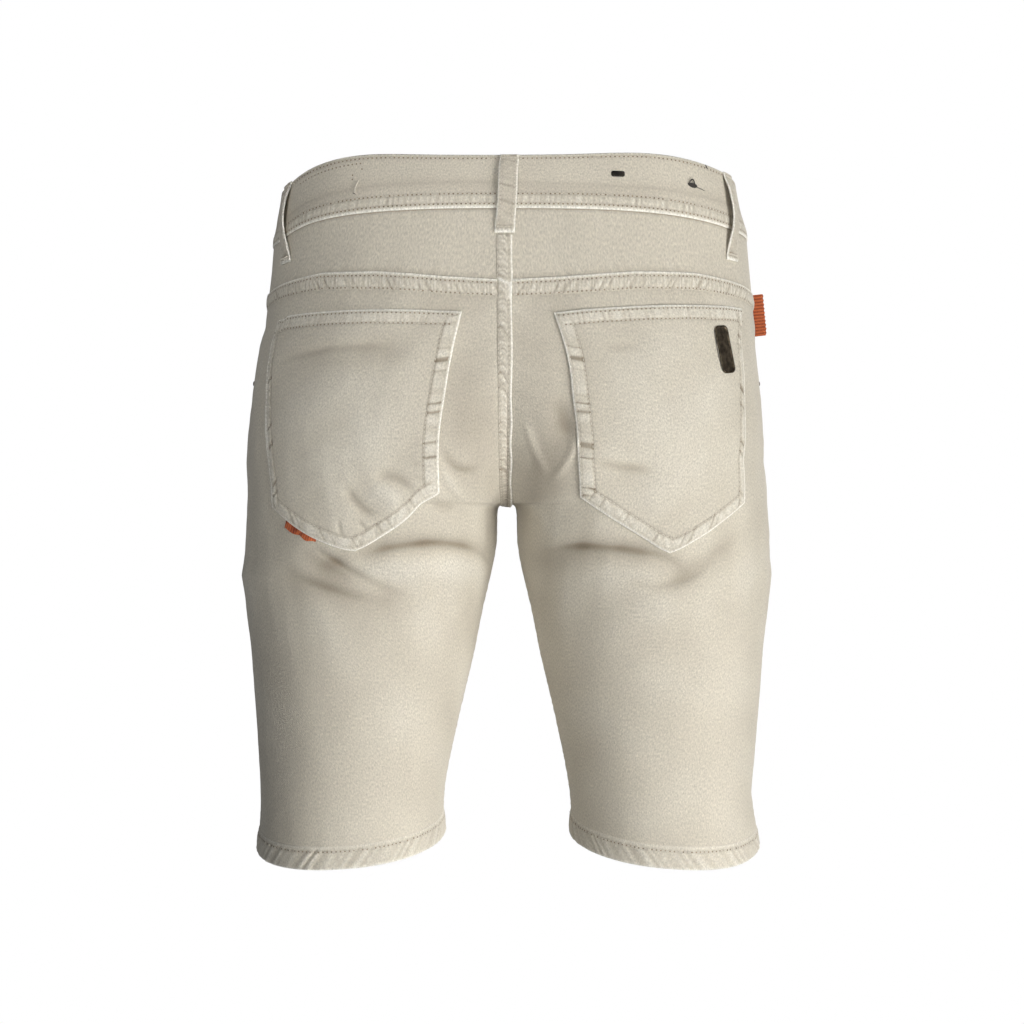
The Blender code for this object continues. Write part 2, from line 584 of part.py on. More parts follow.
def belt_loop(row):
    """Belt loop: a folded strip tacked at the band's top edge and under it, standing off between."""
    at = dict(zip(LOOP_COLUMNS, row))
    z, lift = np.array(LOOP_PATH).T[:, :, None]
    shorter = (at["low"] - LOOP_BEND) / (LOOP_PATH[-1][0] - LOOP_BEND)
    z = np.where(z < LOOP_BEND, LOOP_BEND + (z - LOOP_BEND) * shorter, z)
    share = (z - z[0]) / (z[-1] - z[0])
    middle = at["top"] * (1 - share) + at["foot"] * share
    offset = np.linspace(-0.5, 0.5, 4) * LOOP_WIDTH
    lift = lift * np.ones(4)
    if at["side"] == 0:
        side, a = from_middle(at["face"], middle + offset, z)
    else:
        side, a = at["side"], middle + offset
    cloth_wall(at["name"], at["face"], side, a, z, lift + LOOP_WALL, lift, ECRU_LIGHT, half=False)


# ---- small pieces ----

def side_tab():
    """Ribbed tab: a folded ribbon caught in the right side seam, standing straight out of it."""
    z = np.linspace(-78.5, -109.0, 8)[:, None]
    lift = np.linspace(0.4, 9.6, 4)
    bow = 0.5 * np.sin((z + 78.5) / 8) * lift / 9.6
    line = place(0, -1, 0.0, z, lift)
    half = np.array([0.0, 0.8, 0.0])
    line[..., 1] += bow
    wall("side_tab", line + half, line - half, RUST)


def pocket_tab():
    """Small ribbon tab that peeps out under the left pocket's lower outer edge."""
    along = np.linspace(0, 1, 9)[:, None]
    out = np.linspace(0, 1, 4)
    a = 99.0 + 26.0 * along - 3.5 * out
    z = -245.6 - 13.2 * along - 1.2 - 8.0 * out * (1 - 0.35 * np.abs(2 * along - 1))
    lift = 0.7 + 1.2 * out * (1 + np.sin(11 * along))
    cloth_wall("pocket_tab", 0, 1, a, z, lift + 1.1, lift, RUST)


def facing_frame(face, side, a, z, lift):
    """Matrix of a frame on the cloth: its Z points out of the cloth and its Y up."""
    a, z = np.array([a]), np.array([z])
    spot = place(face, side, a, z, lift)[0]
    normal = outward(face, a, z)[0] * np.array([side, 1, 1])
    out = Vector(normal)
    right = Vector((0, 0, 1)).cross(out).normalized()
    up = out.cross(right)
    frame = Matrix((right, up, out)).transposed().to_4x4()
    frame.translation = Vector(spot * MM)
    return frame


def turned(name, profile, frame, colour, roughness, metallic):
    """A turned piece: a profile of radius and height, in millimetres, spun about the frame's Z."""
    steps = 20
    turn = np.arange(steps) * 2 * np.pi / steps
    radius, height = np.array(profile).T[:, :, None]
    ring = np.stack([radius * np.cos(turn), radius * np.sin(turn), height * np.ones(steps)], axis=2)
    points = [tuple(p) for p in ring.reshape(-1, 3) * MM] + [(0, 0, profile[0][1] * MM), (0, 0, profile[-1][1] * MM)]
    faces = grid_faces(len(profile), steps, 0, True).tolist()
    last = (len(profile) - 1) * steps
    for k in range(steps):
        faces.append((k, (k + 1) % steps, len(points) - 2))
        faces.append((last + k, last + (k + 1) % steps, len(points) - 1))
    mesh = bpy.data.meshes.new(name)
    mesh.from_pydata([frame @ Vector(p) for p in points], [], faces)
    return add_object(name, mesh, colour, roughness, metallic)


def waist_button():
    """Tack button: a broad dished head on the lapped end of the waistband."""
    frame = facing_frame(1, 1, float(width(1, BAND_LOW / 2)), BAND_LOW / 2, BAND_OUT + 0.3)
    r = BUTTON_RADIUS
    profile = ((4.5, 0.0), (4.5, 1.4), (r - 0.5, 1.5), (r, 2.1), (r, 2.9), (r - 0.8, 3.5), (r - 2.4, 3.3), (3.0, 2.9))
    turned("waist_button", profile, frame, BRONZE, 0.4, 1.0)


def rivet(name, side, a, z):
    """Rivet: a low burr at an end of the front pocket's mouth."""
    r = RIVET_RADIUS
    frame = facing_frame(1, side, a, z, 0.45)
    profile = ((r, 0.0), (r, 0.7), (r - 0.8, 1.3), (2.2, 1.5), (1.6, 2.1))
    turned(name, profile, frame, BRONZE, 0.45, 1.0)


def badge():
    """Badge: a plain plate with rounded corners on the right back pocket, near its outer edge."""
    frame = facing_frame(0, -1, 96.5, -124.0, SKIN_GAP + SKIN + 0.7)
    frame = frame @ Matrix.Rotation(np.radians(6.0), 4, "Z")
    corner = np.radians(np.linspace(0, 90, 5))
    radius = 4.0
    outline = []
    for turn, sx, sy in ((0, 1, 1), (90, -1, 1), (180, -1, -1), (270, 1, -1)):
        angle = corner + np.radians(turn)
        x = sx * (BADGE_WIDTH / 2 - radius) + radius * np.cos(angle)
        y = sy * (BADGE_HEIGHT / 2 - radius) + radius * np.sin(angle)
        outline += list(zip(x, y))
    shape = bmesh.new()
    low = [shape.verts.new(frame @ Vector((x * MM, y * MM, 0))) for x, y in outline]
    face = shape.faces.new(low)
    top = bmesh.ops.extrude_face_region(shape, geom=[face])
    moved = [item for item in top["geom"] if isinstance(item, bmesh.types.BMVert)]
    bmesh.ops.translate(shape, verts=moved, vec=frame.to_3x3() @ Vector((0, 0, BADGE_WALL * MM)))
    mesh = bpy.data.meshes.new("badge")
    shape.to_mesh(mesh)
    shape.free()
    add_object("badge", mesh, BRONZE, 0.5, 1.0)


for old in list(bpy.data.objects):
    bpy.data.objects.remove(old, do_unlink=True)

for word, half in (("left", 1), ("right", -1)):
    back_panel("back_" + word, half)
    front_panel("front_" + word, half)
    yoke("yoke_" + word, half)
    pocket_facing("pocket_facing_" + word, half)
    hem("hem_" + word, half)
    rivet("rivet_upper_" + word, half, 71.0, -52.5)
    rivet("rivet_lower_" + word, half, 8.0, -144.0)
for word, corners in zip(("left", "right"), POCKETS):
    back_pocket("back_pocket_" + word, corners)
waistband()
yoke_fell("yoke_fell_left", 1, 8.6)
yoke_fell("yoke_fell_right", -1, 5.4)
rise_strip("seat_fell", 0, LOOPS[0][-1] - 1.0, (7.2, 3.9), (-3.7, -3.8), 26)
fly()
for loop_row in LOOPS:
    belt_loop(loop_row)
side_tab()
pocket_tab()
waist_button()
badge()
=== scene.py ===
"""Looks of a pair of five-pocket bermuda shorts in washed ecru stretch denim, filled out as if worn."""

import bpy
import numpy as np
from mathutils import Matrix, Vector


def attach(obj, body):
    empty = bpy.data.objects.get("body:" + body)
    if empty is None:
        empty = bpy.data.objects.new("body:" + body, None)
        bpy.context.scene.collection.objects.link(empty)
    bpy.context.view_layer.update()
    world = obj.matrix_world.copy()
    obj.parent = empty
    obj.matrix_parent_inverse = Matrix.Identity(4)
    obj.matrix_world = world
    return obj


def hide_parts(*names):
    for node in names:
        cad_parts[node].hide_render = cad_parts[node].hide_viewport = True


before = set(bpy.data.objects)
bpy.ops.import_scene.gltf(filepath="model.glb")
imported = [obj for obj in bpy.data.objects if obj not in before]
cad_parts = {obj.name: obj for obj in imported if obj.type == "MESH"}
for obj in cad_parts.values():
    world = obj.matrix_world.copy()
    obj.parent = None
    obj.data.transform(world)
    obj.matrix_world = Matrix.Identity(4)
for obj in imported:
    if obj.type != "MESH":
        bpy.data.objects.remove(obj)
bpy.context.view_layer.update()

# ---------------------------------------------------------------------------------------------
# Back panels: the two large pieces of ecru stretch denim over the seat and the back of the thighs.
# Each is cut with a curved rise, sewn to the yoke above, to its twin along the seat seam and to the
# front panel at the side seam and the inseam. Wear lays soft folds under the pockets and the seat.
# Every piece below lies on the same run of cloth, so its places are named here: a is the distance
# from the side seam and z the level, both in millimetres; face is 0 behind and 1 in front; side is 1
# on the wearer's left and -1 on the right.
# ---------------------------------------------------------------------------------------------
MM = 0.001
HALVES = (("left", 1), ("right", -1))
SEAM_GAP = 0.06             # what shows of the gap between two sewn pieces
CLOTH = 1.3
CROTCH_Z = -234.6
ARCH_HEIGHT = 5.5           # how far below the crotch the inseam's arch is rounded
BAND_LOW = -43.0            # the waistband's lower edge
HEM_TOP = -476.0            # the upper end of the turned hems
# What a level of the surface is made of: how far out its side and how far in its inner end reach, how
# deep its back and its front are, how deep its side lies, where the fullest points are, and how square
# its curve is.
LEVEL_COLUMNS = ("z", "outer", "inner", "back", "front", "side", "back_lobe", "front_lobe", "power")
LEVELS = (
    (20.0, 167.5, 0.0, 103.0, -96.0, -4.0, 0.0, 0.0, 2.8),
    (0.0, 169.5, 0.0, 105.0, -98.0, -4.0, 0.0, 0.0, 2.8),
    (-43.0, 177.5, 0.0, 109.5, -103.0, -4.0, 8.0, 8.0, 2.5),
    (-58.0, 179.5, 0.0, 111.5, -105.0, -4.0, 18.0, 18.0, 2.4),
    (-75.0, 181.5, 0.0, 114.0, -106.0, -4.0, 30.0, 28.0, 2.35),
    (-110.0, 185.5, 0.0, 118.5, -107.5, -4.0, 50.0, 42.0, 2.3),
    (-150.0, 190.5, 0.0, 121.5, -108.0, -4.0, 62.0, 56.0, 2.3),
    (-180.0, 193.5, 0.0, 121.0, -107.5, -4.0, 69.0, 66.0, 2.3),
    (-205.0, 195.0, 0.0, 117.0, -106.5, -4.0, 75.0, 75.0, 2.3),
    (-235.0, 196.0, 6.7, 109.0, -105.5, -4.0, 86.0, 88.0, 2.3),
    (-265.0, 198.0, 8.2, 100.0, -104.5, -5.0, 97.0, 98.0, 2.25),
    (-285.0, 199.5, 12.0, 94.0, -103.5, -6.0, 105.0, 105.0, 2.2),
    (-307.0, 198.3, 17.5, 88.5, -102.5, -8.0, 109.0, 109.0, 2.15),
    (-345.0, 194.5, 25.5, 79.5, -100.5, -11.0, 111.0, 111.0, 2.1),
    (-382.0, 191.0, 34.0, 71.5, -98.5, -14.0, 114.0, 114.0, 2.1),
    (-420.0, 187.8, 41.5, 64.0, -96.0, -17.0, 116.0, 116.0, 2.1),
    (-457.0, 185.6, 47.0, 57.5, -93.5, -19.0, 117.5, 117.5, 2.1),
    (-476.0, 186.8, 48.0, 55.0, -92.5, -20.0, 118.0, 118.0, 2.1),
    (-493.0, 188.6, 47.3, 53.5, -92.0, -21.0, 118.5, 118.5, 2.1),
    (-499.0, 188.8, 47.0, 53.3, -92.0, -21.3, 118.5, 118.5, 2.1),
)
# How much higher than its level the surface is at the fullest point behind and in front and at the
# inseam.
TILT_COLUMNS = ("z", "back", "front", "inseam")
TILTS = (
    (20.0, 14.5, -18.0, 0.0),
    (0.0, 14.5, -18.0, 0.0),
    (-43.0, 19.0, -16.0, 0.0),
    (-78.0, 2.0, -10.0, 0.0),
    (-120.0, 0.0, -2.0, 0.0),
    (-235.0, 0.0, 0.0, 0.0),
    (-400.0, 0.0, 0.0, 0.0),
    (-476.0, -8.5, 11.0, 11.0),
    (-493.0, -8.5, 12.0, 12.0),
    (-499.0, -8.5, 12.0, 12.0),
)
# The level below which the rise curves inwards, and how square its curve is, behind and in front.
RISE = ((-60.0, 3.0), (-45.0, 2.6))
# The yoke seam's level at shares of the way from the middle to the side seam.
YOKE_SEAM = ((0.0, -77.5), (0.15, -76.0), (0.36, -73.0), (0.55, -72.5), (0.72, -75.5), (0.86, -79.0),
             (1.0, -81.0))
# Folds and creases: half, face, both ends (a, z), sag of the middle, half width and height. The
# first ones are those of the solids, and the finer ones follow.
FOLD_COLUMNS = ("side", "face", "a0", "z0", "a1", "z1", "sag", "width", "height")
FOLDS = (
    (1, 0, 128.0, -279.0, 286.0, -272.0, 11.0, 7.0, -2.6),
    (1, 0, 140.0, -292.0, 280.0, -288.0, 10.0, 11.0, 2.2),
    (1, 0, 96.0, -262.0, 182.0, -298.0, -4.0, 8.0, -1.8),
    (1, 0, 84.0, -283.0, 190.0, -309.0, -5.0, 12.0, -1.8),
    (1, 0, 86.0, -133.0, 212.0, -131.0, 5.0, 12.0, -1.2),
    (-1, 0, 136.0, -277.0, 238.0, -266.0, 4.0, 7.0, -2.4),
    (-1, 0, 138.0, -290.0, 240.0, -284.0, 5.0, 11.0, 2.0),
    (-1, 0, 88.0, -256.0, 156.0, -297.0, -3.0, 9.0, -1.8),
    (1, 1, 60.0, -196.0, 236.0, -236.0, 8.0, 11.0, -2.0),
    (1, 1, 66.0, -222.0, 250.0, -262.0, 9.0, 12.0, 2.0),
    (1, 1, 90.0, -262.0, 236.0, -290.0, 6.0, 10.0, -1.8),
    (-1, 1, 64.0, -202.0, 232.0, -238.0, 7.0, 11.0, -2.0),
    (-1, 1, 70.0, -228.0, 252.0, -258.0, 8.0, 12.0, 1.9),
    (-1, 1, 96.0, -258.0, 230.0, -294.0, 6.0, 10.0, -1.8),
    (1, 0, 157.7, -273.0, 257.4, -270.0, 7.0, 2.6, -1.5),
    (1, 0, 229.9, -265.0, 289.2, -280.0, 3.0, 2.6, -1.0),
    (1, 0, 118.9, -265.0, 162.8, -292.0, -1.0, 2.4, -1.5),
    (1, 0, 144.9, -282.0, 189.6, -305.0, -0.9, 4.0, -0.9),
    (1, 0, 93.3, -282.0, 168.9, -306.0, -4.0, 4.0, -1.1),
    (1, 0, 87.7, -132.0, 184.8, -123.0, 4.2, 3.2, -1.0),
    (1, 0, 172.5, -216.0, 200.6, -227.0, 4.8, 4.5, -2.4),
    (1, 0, 151.1, -223.0, 172.2, -244.0, -3.5, 4.0, -2.0),
    (1, 0, 166.8, -226.0, 189.6, -234.0, 3.7, 7.0, 1.8),
    (1, 0, 143.6, -246.0, 144.3, -257.0, -0.9, 1.6, -0.9),
    (1, 0, 157.2, -246.0, 162.7, -254.0, -0.4, 1.6, -0.9),
    (1, 0, 167.5, -252.0, 170.1, -259.0, -0.1, 1.4, -0.7),
    (1, 0, 199.8, -207.0, 210.6, -207.0, 0.0, 1.6, -0.7),
    (1, 0, 196.2, -216.0, 210.1, -218.0, 1.1, 1.6, -0.7),
    (1, 0, 222.6, -196.0, 251.0, -210.0, -6.9, 4.2, -2.4),
    (1, 0, 222.5, -209.0, 238.2, -232.0, -1.3, 4.0, 1.6),
    (1, 0, 210.3, -233.0, 231.0, -238.0, -0.9, 3.6, -1.7),
    (-1, 0, 251.1, -268.0, 146.6, -274.0, -4.1, 2.6, -1.5),
    (-1, 0, 159.6, -270.0, 132.2, -283.0, -1.8, 3.0, -1.0),
    (-1, 0, 175.0, -290.0, 109.8, -277.0, 11.2, 4.0, -1.1),
    (-1, 0, 257.1, -175.0, 241.5, -213.0, 2.5, 3.2, 1.3),
    (-1, 0, 233.2, -158.0, 224.3, -189.0, 1.3, 7.0, -2.0),
    (-1, 0, 221.1, -183.0, 237.9, -218.0, -5.0, 3.4, 1.6),
    (-1, 0, 265.0, -232.0, 230.7, -255.0, 1.7, 5.0, 0.8),
    (-1, 0, 207.4, -205.0, 163.9, -211.0, 0.3, 3.0, -1.7),
    (-1, 0, 192.9, -124.0, 164.8, -121.0, 0.3, 3.0, -0.7),
    (-1, 0, 203.9, -198.0, 159.8, -203.0, -0.3, 5.0, 0.5),
    (1, 1, 232.0, -190.0, 306.0, -226.0, 4.0, 6.0, -1.2),
    (1, 1, 226.0, -170.0, 296.0, -196.0, 4.0, 8.0, 0.9),
    (1, 1, 20.0, -176.0, 120.0, -190.0, 4.0, 8.0, -0.9),
    (-1, 1, 230.0, -186.0, 304.0, -222.0, 4.0, 6.0, -1.2),
    (-1, 1, 224.0, -168.0, 290.0, -198.0, 4.0, 8.0, 0.8),
    (-1, 1, 22.0, -182.0, 126.0, -196.0, 4.0, 8.0, -0.9),
)
BACK_STEP = 1.6             # between the points of a back panel
BACK_ACROSS = 310.0         # its width, by which they are spaced
FELL_WIDTH = 9.5            # the felled seam that covers its top edge
CROTCH_DROP = 27.0          # how far the row of points through the crotch falls on its way out
CROTCH_STEPS = (0.0, 0.12, 0.35, 0.8, 1.5, 2.5, 3.8, 5.5, 7.4)  # the rows just below it


def smooth(columns, rows, z):
    """Values of a table's columns at heights z, on cubic curves through its rows."""
    table = np.array(sorted(rows))
    x, y = table[:, 0], table[:, 1:]
    slope = np.gradient(y, x, axis=0)
    z = np.clip(z, x[0], x[-1])
    i = np.clip(np.searchsorted(x, z) - 1, 0, len(x) - 2)
    step = x[i + 1] - x[i]
    t = ((z - x[i]) / step)[:, None]
    span = step[:, None]
    values = (
        (2 * t**3 - 3 * t**2 + 1) * y[i] + (t**3 - 2 * t**2 + t) * span * slope[i]
        + (3 * t**2 - 2 * t**3) * y[i + 1] + (t**3 - t**2) * span * slope[i + 1]
    )
    return dict(zip(columns[1:], values.T))


def section(face, z):
    """Outline of one face at each height: two quarters of a superellipse about its fullest point.

    Above the crotch the inner quarter is cut off at the middle plane, where the depth of the seat
    seam is reached; below it ends at the inseam. Each point is raised by the level's tilt.
    """
    size = smooth(LEVEL_COLUMNS, LEVELS, z)
    lobe = size["front_lobe" if face else "back_lobe"]
    depth = size["front" if face else "back"]
    power = size["power"]
    top, rise_power = RISE[face]
    rise = (1 - np.clip((top - z) / (top - CROTCH_Z), 0, 1) ** rise_power) ** (1 / rise_power)
    below = np.clip((CROTCH_Z - z) / ARCH_HEIGHT, 0, 1)
    inner = np.where(z < CROTCH_Z, size["inner"] * (1 - (1 - below) ** 3) ** (1 / 3), 0.0)
    cut = np.maximum((1 - rise**power) ** (1 / power), 1e-6)
    cut = np.where(z > CROTCH_Z, cut, 1.0)
    start = np.arccos(np.clip(cut ** (power / 2), 0, 1))
    even = 0.5 - 0.5 * np.cos(np.pi * np.linspace(0, 1, 160))
    quarter = np.pi / 2
    angle_in = start[:, None] + (quarter - start[:, None]) * even
    angle_out = quarter + quarter * even * np.ones((len(z), 1))
    angle = np.concatenate([angle_in, angle_out[:, 1:]], axis=1)
    along = np.abs(np.cos(angle)) ** (2 / power[:, None])
    deep = np.abs(np.sin(angle)) ** (2 / power[:, None])
    above = lobe[:, None] * (1 - along / cut[:, None])
    near_top = 1 + 3 * np.exp(np.minimum(z - CROTCH_Z, 0) / 7)[:, None]
    under = lobe[:, None] * (1 - along) + inner[:, None] * along**near_top
    s_in = np.where((z > CROTCH_Z)[:, None], above, under)
    s_out = lobe[:, None] + (size["outer"] - lobe)[:, None] * along
    s = np.where(angle < quarter, s_in, s_out)
    y = size["side"][:, None] + (depth - size["side"])[:, None] * deep
    tilt = smooth(TILT_COLUMNS, TILTS, z)
    own, other = (tilt["front"], tilt["back"]) if face else (tilt["back"], tilt["front"])
    sine = np.sin(angle)
    lifted = (
        (own - other)[:, None] / 2 * sine + (own + other)[:, None] / 2 * sine**2
        + tilt["inseam"][:, None] * (1 + np.cos(angle) - sine) / 2
    )
    return np.stack([np.maximum(s, 0), y, z[:, None] + lifted], axis=2)


def surface_table(face, heights, columns=261):
    """Points at equal shares of each level's length, and the lengths."""
    run = section(face, heights)
    steps = np.linalg.norm(np.diff(run, axis=1), axis=2)
    length = np.concatenate([np.zeros((len(run), 1)), np.cumsum(steps, axis=1)], axis=1)
    shares = np.linspace(0, 1, columns)
    points = np.empty((len(heights), columns, 3))
    for row, (line, at) in enumerate(zip(run, length)):
        for axis in range(3):
            points[row, :, axis] = np.interp(shares * at[-1], at, line[:, axis])
    return points, length[:, -1]


near_crotch = np.linspace(0, 1, 50) ** 3
HEIGHTS = np.unique(np.round(np.concatenate(
    [np.arange(-499.0, 20.1, 1.5), CROTCH_Z + 24 * near_crotch, CROTCH_Z - ARCH_HEIGHT * near_crotch]), 5))
TABLES = tuple(surface_table(face, HEIGHTS) for face in (0, 1))


def width(face, z):
    """Length of one face's level z, from the middle or the inseam to the side seam."""
    return np.interp(z, HEIGHTS, TABLES[face][1])


def surface(face, a, z):
    """Points of the panels' smooth outer side, on the left half, read between the table's points."""
    points, lengths = TABLES[face]
    row = np.clip(np.searchsorted(HEIGHTS, z) - 1, 0, len(HEIGHTS) - 2)
    down = np.clip((z - HEIGHTS[row]) / (HEIGHTS[row + 1] - HEIGHTS[row]), 0, 1)
    full = lengths[row] * (1 - down) + lengths[row + 1] * down
    across = np.clip(1 - a / full, 0, 1) * (points.shape[1] - 1)
    column = np.minimum(across.astype(int), points.shape[1] - 2)
    across = (across - column)[..., None]
    down = down[..., None]
    upper = points[row + 1, column] * (1 - across) + points[row + 1, column + 1] * across
    lower = points[row, column] * (1 - across) + points[row, column + 1] * across
    return lower * (1 - down) + upper * down


def outward(face, a, z, step=1.5):
    """Unit normals of that surface, from points a short step away each way."""
    along = surface(face, np.minimum(a + step, width(face, z)), z) - surface(face, np.maximum(a - step, 0), z)
    down = surface(face, a, z - step) - surface(face, a, z + step)
    normal = np.cross(along, down)
    if face == 0:
        normal = -normal
    return normal / np.maximum(np.linalg.norm(normal, axis=-1, keepdims=True), 1e-9)


def ripple(x, y, size, key, waves=7):
    """Soft uneven relief of about one size: a sum of plane waves with drawn directions and phases."""
    draw = np.random.default_rng(key)
    total = 0.0
    for _ in range(waves):
        angle, stretch, phase = draw.uniform(0, np.pi), draw.uniform(0.7, 1.5), draw.uniform(0, 2 * np.pi)
        total = total + np.sin(2 * np.pi / (size * stretch) * (x * np.cos(angle) + y * np.sin(angle)) + phase)
    return total / np.sqrt(waves)


def ease(t):
    """A step from 0 to 1 that starts and ends softly: three squares less two cubes."""
    t = np.clip(t, 0, 1)
    return t * t * (3 - 2 * t)


def bell(x, reach):
    """A bell, 1 at 0 and fading both ways: e to the power of minus the square of x over the reach."""
    return np.exp(-(x / reach) ** 2)


def fold_lift(face, side, a, z):
    """Sum of the folds at a place, each a soft bell across its line that fades to both ends."""
    lift = np.zeros(np.broadcast(a, z).shape)
    for row in FOLDS:
        fold = dict(zip(FOLD_COLUMNS, row))
        if fold["face"] != face:
            continue
        run = np.array([fold["a1"] - fold["a0"], fold["z1"] - fold["z0"]])
        length = np.linalg.norm(run)
        run = run / length
        t = ((a - fold["a0"]) * run[0] + (z - fold["z0"]) * run[1]) / length
        off = (z - fold["z0"]) * run[0] - (a - fold["a0"]) * run[1] - 4 * fold["sag"] * t * (1 - t)
        fade = np.exp(-(np.abs(2 * t - 1) / 0.85) ** 4)
        height = np.where(side == fold["side"], fold["height"], 0)
        lift = lift + height * fade * bell(off, fold["width"])
    inside = width(face, z) - a
    soft = np.clip((BAND_LOW - z) / 60, 0, 1) * ease(a / 14) * ease(inside / 14)
    calm = 1 - 0.6 * ease((-300.0 - z) / 60.0)
    swell = 0.35 * ripple(a * side, z, 46.0, 11 + face) + 0.12 * ripple(a * side, z, 17.0, 21 + face)
    return lift * ease(inside / 16) + soft * calm * swell


# Patches of painted shade on the seat either side of its seam and under the right pocket: the half, the
# distance from the middle, the level, the reach both ways and the change in wear.
PAINTED_SHADE_PATCHES = (
    (1, 26.0, -200.0, 24.0, 42.0, -0.30),
    (1, 30.0, -130.0, 24.0, 50.0, -0.14),
    (-1, 30.0, -130.0, 26.0, 50.0, -0.14),
    (-1, 38.0, -206.0, 26.0, 34.0, -0.42),
    (-1, 84.0, -275.0, 46.0, 11.0, -0.34),
    (-1, 50.0, -238.0, 16.0, 16.0, -0.22),
)


def fold_wear_and_shade(face, side, a, z):
    """Crests lighter as rubbed, painted shade that deepens in the valleys, and patches of painted shade."""
    lift = fold_lift(face, side, a, z)
    wear_and_shade = 0.10 * lift - 0.035 * np.minimum(lift, 0) ** 2
    inside = width(face, z) - a
    for half, middle, level, wide, high, change in PAINTED_SHADE_PATCHES:
        one = change * np.exp(-((inside - middle) / wide) ** 2 - ((z - level) / high) ** 2)
        wear_and_shade = wear_and_shade + np.where((side == half) & (face == 0), one, 0)
    return wear_and_shade


# The worn waist isn't quite even. Each row of RIDES raises the cloth round one place: the half, its
# cloth distance behind the side seam, its level, its reach both ways and the rise. Each row of TRIMS
# has a level, and how much less than the section the left and the right half reach out there.
RIDES = (
    (1, 46.0, -16.0, 34.0, 40.0, -7.5),
    (1, 126.0, 8.0, 44.0, 34.0, 3.3),
    (-1, 125.0, 8.0, 52.0, 34.0, 4.3),
    (-1, 0.0, -30.0, 40.0, 34.0, 4.5),
    (-1, 12.0, -496.0, 34.0, 11.0, 3.0),
)
TRIMS = (
    (-493.0, 0.3, -1.4), (-474.0, 0.0, -1.2), (-450.0, -0.3, 1.2), (-430.0, 0.2, 0.8), (-372.0, 1.6, 1.2),
    (-342.0, 2.5, 2.0), (-304.0, 2.0, 1.8), (-288.0, 0.6, 1.2), (-275.0, 1.8, 1.8), (-258.0, 1.8, 1.0),
    (-221.0, 1.8, 1.4), (-203.0, 0.4, 3.0), (-190.0, 0.3, 2.0), (-137.0, 0.8, 1.2), (-118.0, 1.6, 1.0),
    (-104.0, 4.2, -0.6), (-62.0, 4.2, -1.2), (-42.0, 3.2, -1.8), (-20.0, 2.8, 0.0), (20.0, 2.6, 0.0),
)
HALF_WIDTH = 185.0          # how far out a trim counts in full


def place(face, side, a, z, lift):
    """Points of the real cloth: the surface, its folds and a lift, on either half, in millimetres."""
    face, side, a, z, lift = np.broadcast_arrays(face, side, a, z, lift)
    points = np.zeros(a.shape + (3,))
    for one in (0, 1):
        on = face == one
        if on.any():
            off = lift[on] + fold_lift(one, side[on], a[on], z[on])
            points[on] = surface(one, a[on], z[on]) + outward(one, a[on], z[on]) * off[:, None]
    levels, left, right = np.array(TRIMS).T
    trim = np.where(side > 0, np.interp(z, levels, left), np.interp(z, levels, right))
    points[..., 0] *= side * (1 - trim / HALF_WIDTH)
    behind = np.where(face == 0, a, -a)
    for half, at, level, reach, drop, rise in RIDES:
        shape = np.exp(-((behind - at) / reach) ** 2 - ((z - level) / drop) ** 2)
        points[..., 2] += (side == half) * rise * shape
    return points


def marks(length, step, near=(0.0, 0.3, 0.8, 1.6)):
    """Distances across a piece, close at both edges and even between, always an odd number of them."""
    near = np.array(near)
    count = 2 * max(1, round((length - 2 * near[-1]) / step / 2))
    middle = np.linspace(near[-1], length - near[-1], count + 1)
    return np.concatenate([near[:-1], middle, length - near[-2::-1]])


def edge_drop(distance, radius, depth):
    """How far a cloth edge rounds down: a quarter circle over the radius, scaled to the depth."""
    t = 1 - np.clip(distance / radius, 0, 1)
    return depth * (1 - np.sqrt(1 - t**2))


def ring(index, closed):
    """Border indices of a grid in order, as loops: one all round, or two where columns are joined."""
    if closed:
        return [np.append(index[0], index[0, 0])[::-1], np.append(index[-1], index[-1, 0])]
    return [np.concatenate([index[0, ::-1], index[1:, 0], index[-1, 1:], index[-2::-1, -1]])]


def quads(index, closed):
    """Faces of a grid of indices, with the last column joined to the first where it is closed."""
    after = np.roll(index, -1, axis=1) if closed else index[:, 1:]
    here = index if closed else index[:, :-1]
    return np.stack([here[:-1], after[:-1], after[1:], here[1:]], axis=-1).reshape(-1, 4)


def new_mesh(name, points, faces, *finishes):
    """A mesh of points in millimetres, with its materials."""
    mesh = bpy.data.meshes.new(name)
    mesh.from_pydata((points * MM).tolist(), [], faces)
    for finish in finishes:
        mesh.materials.append(finish)
    return mesh


def add_piece(mesh):
    """Put a mesh in the scene as a piece of the one rigid body."""
    piece = bpy.data.objects.new(mesh.name, mesh)
    bpy.context.scene.collection.objects.link(piece)
    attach(piece, "root")
    return piece


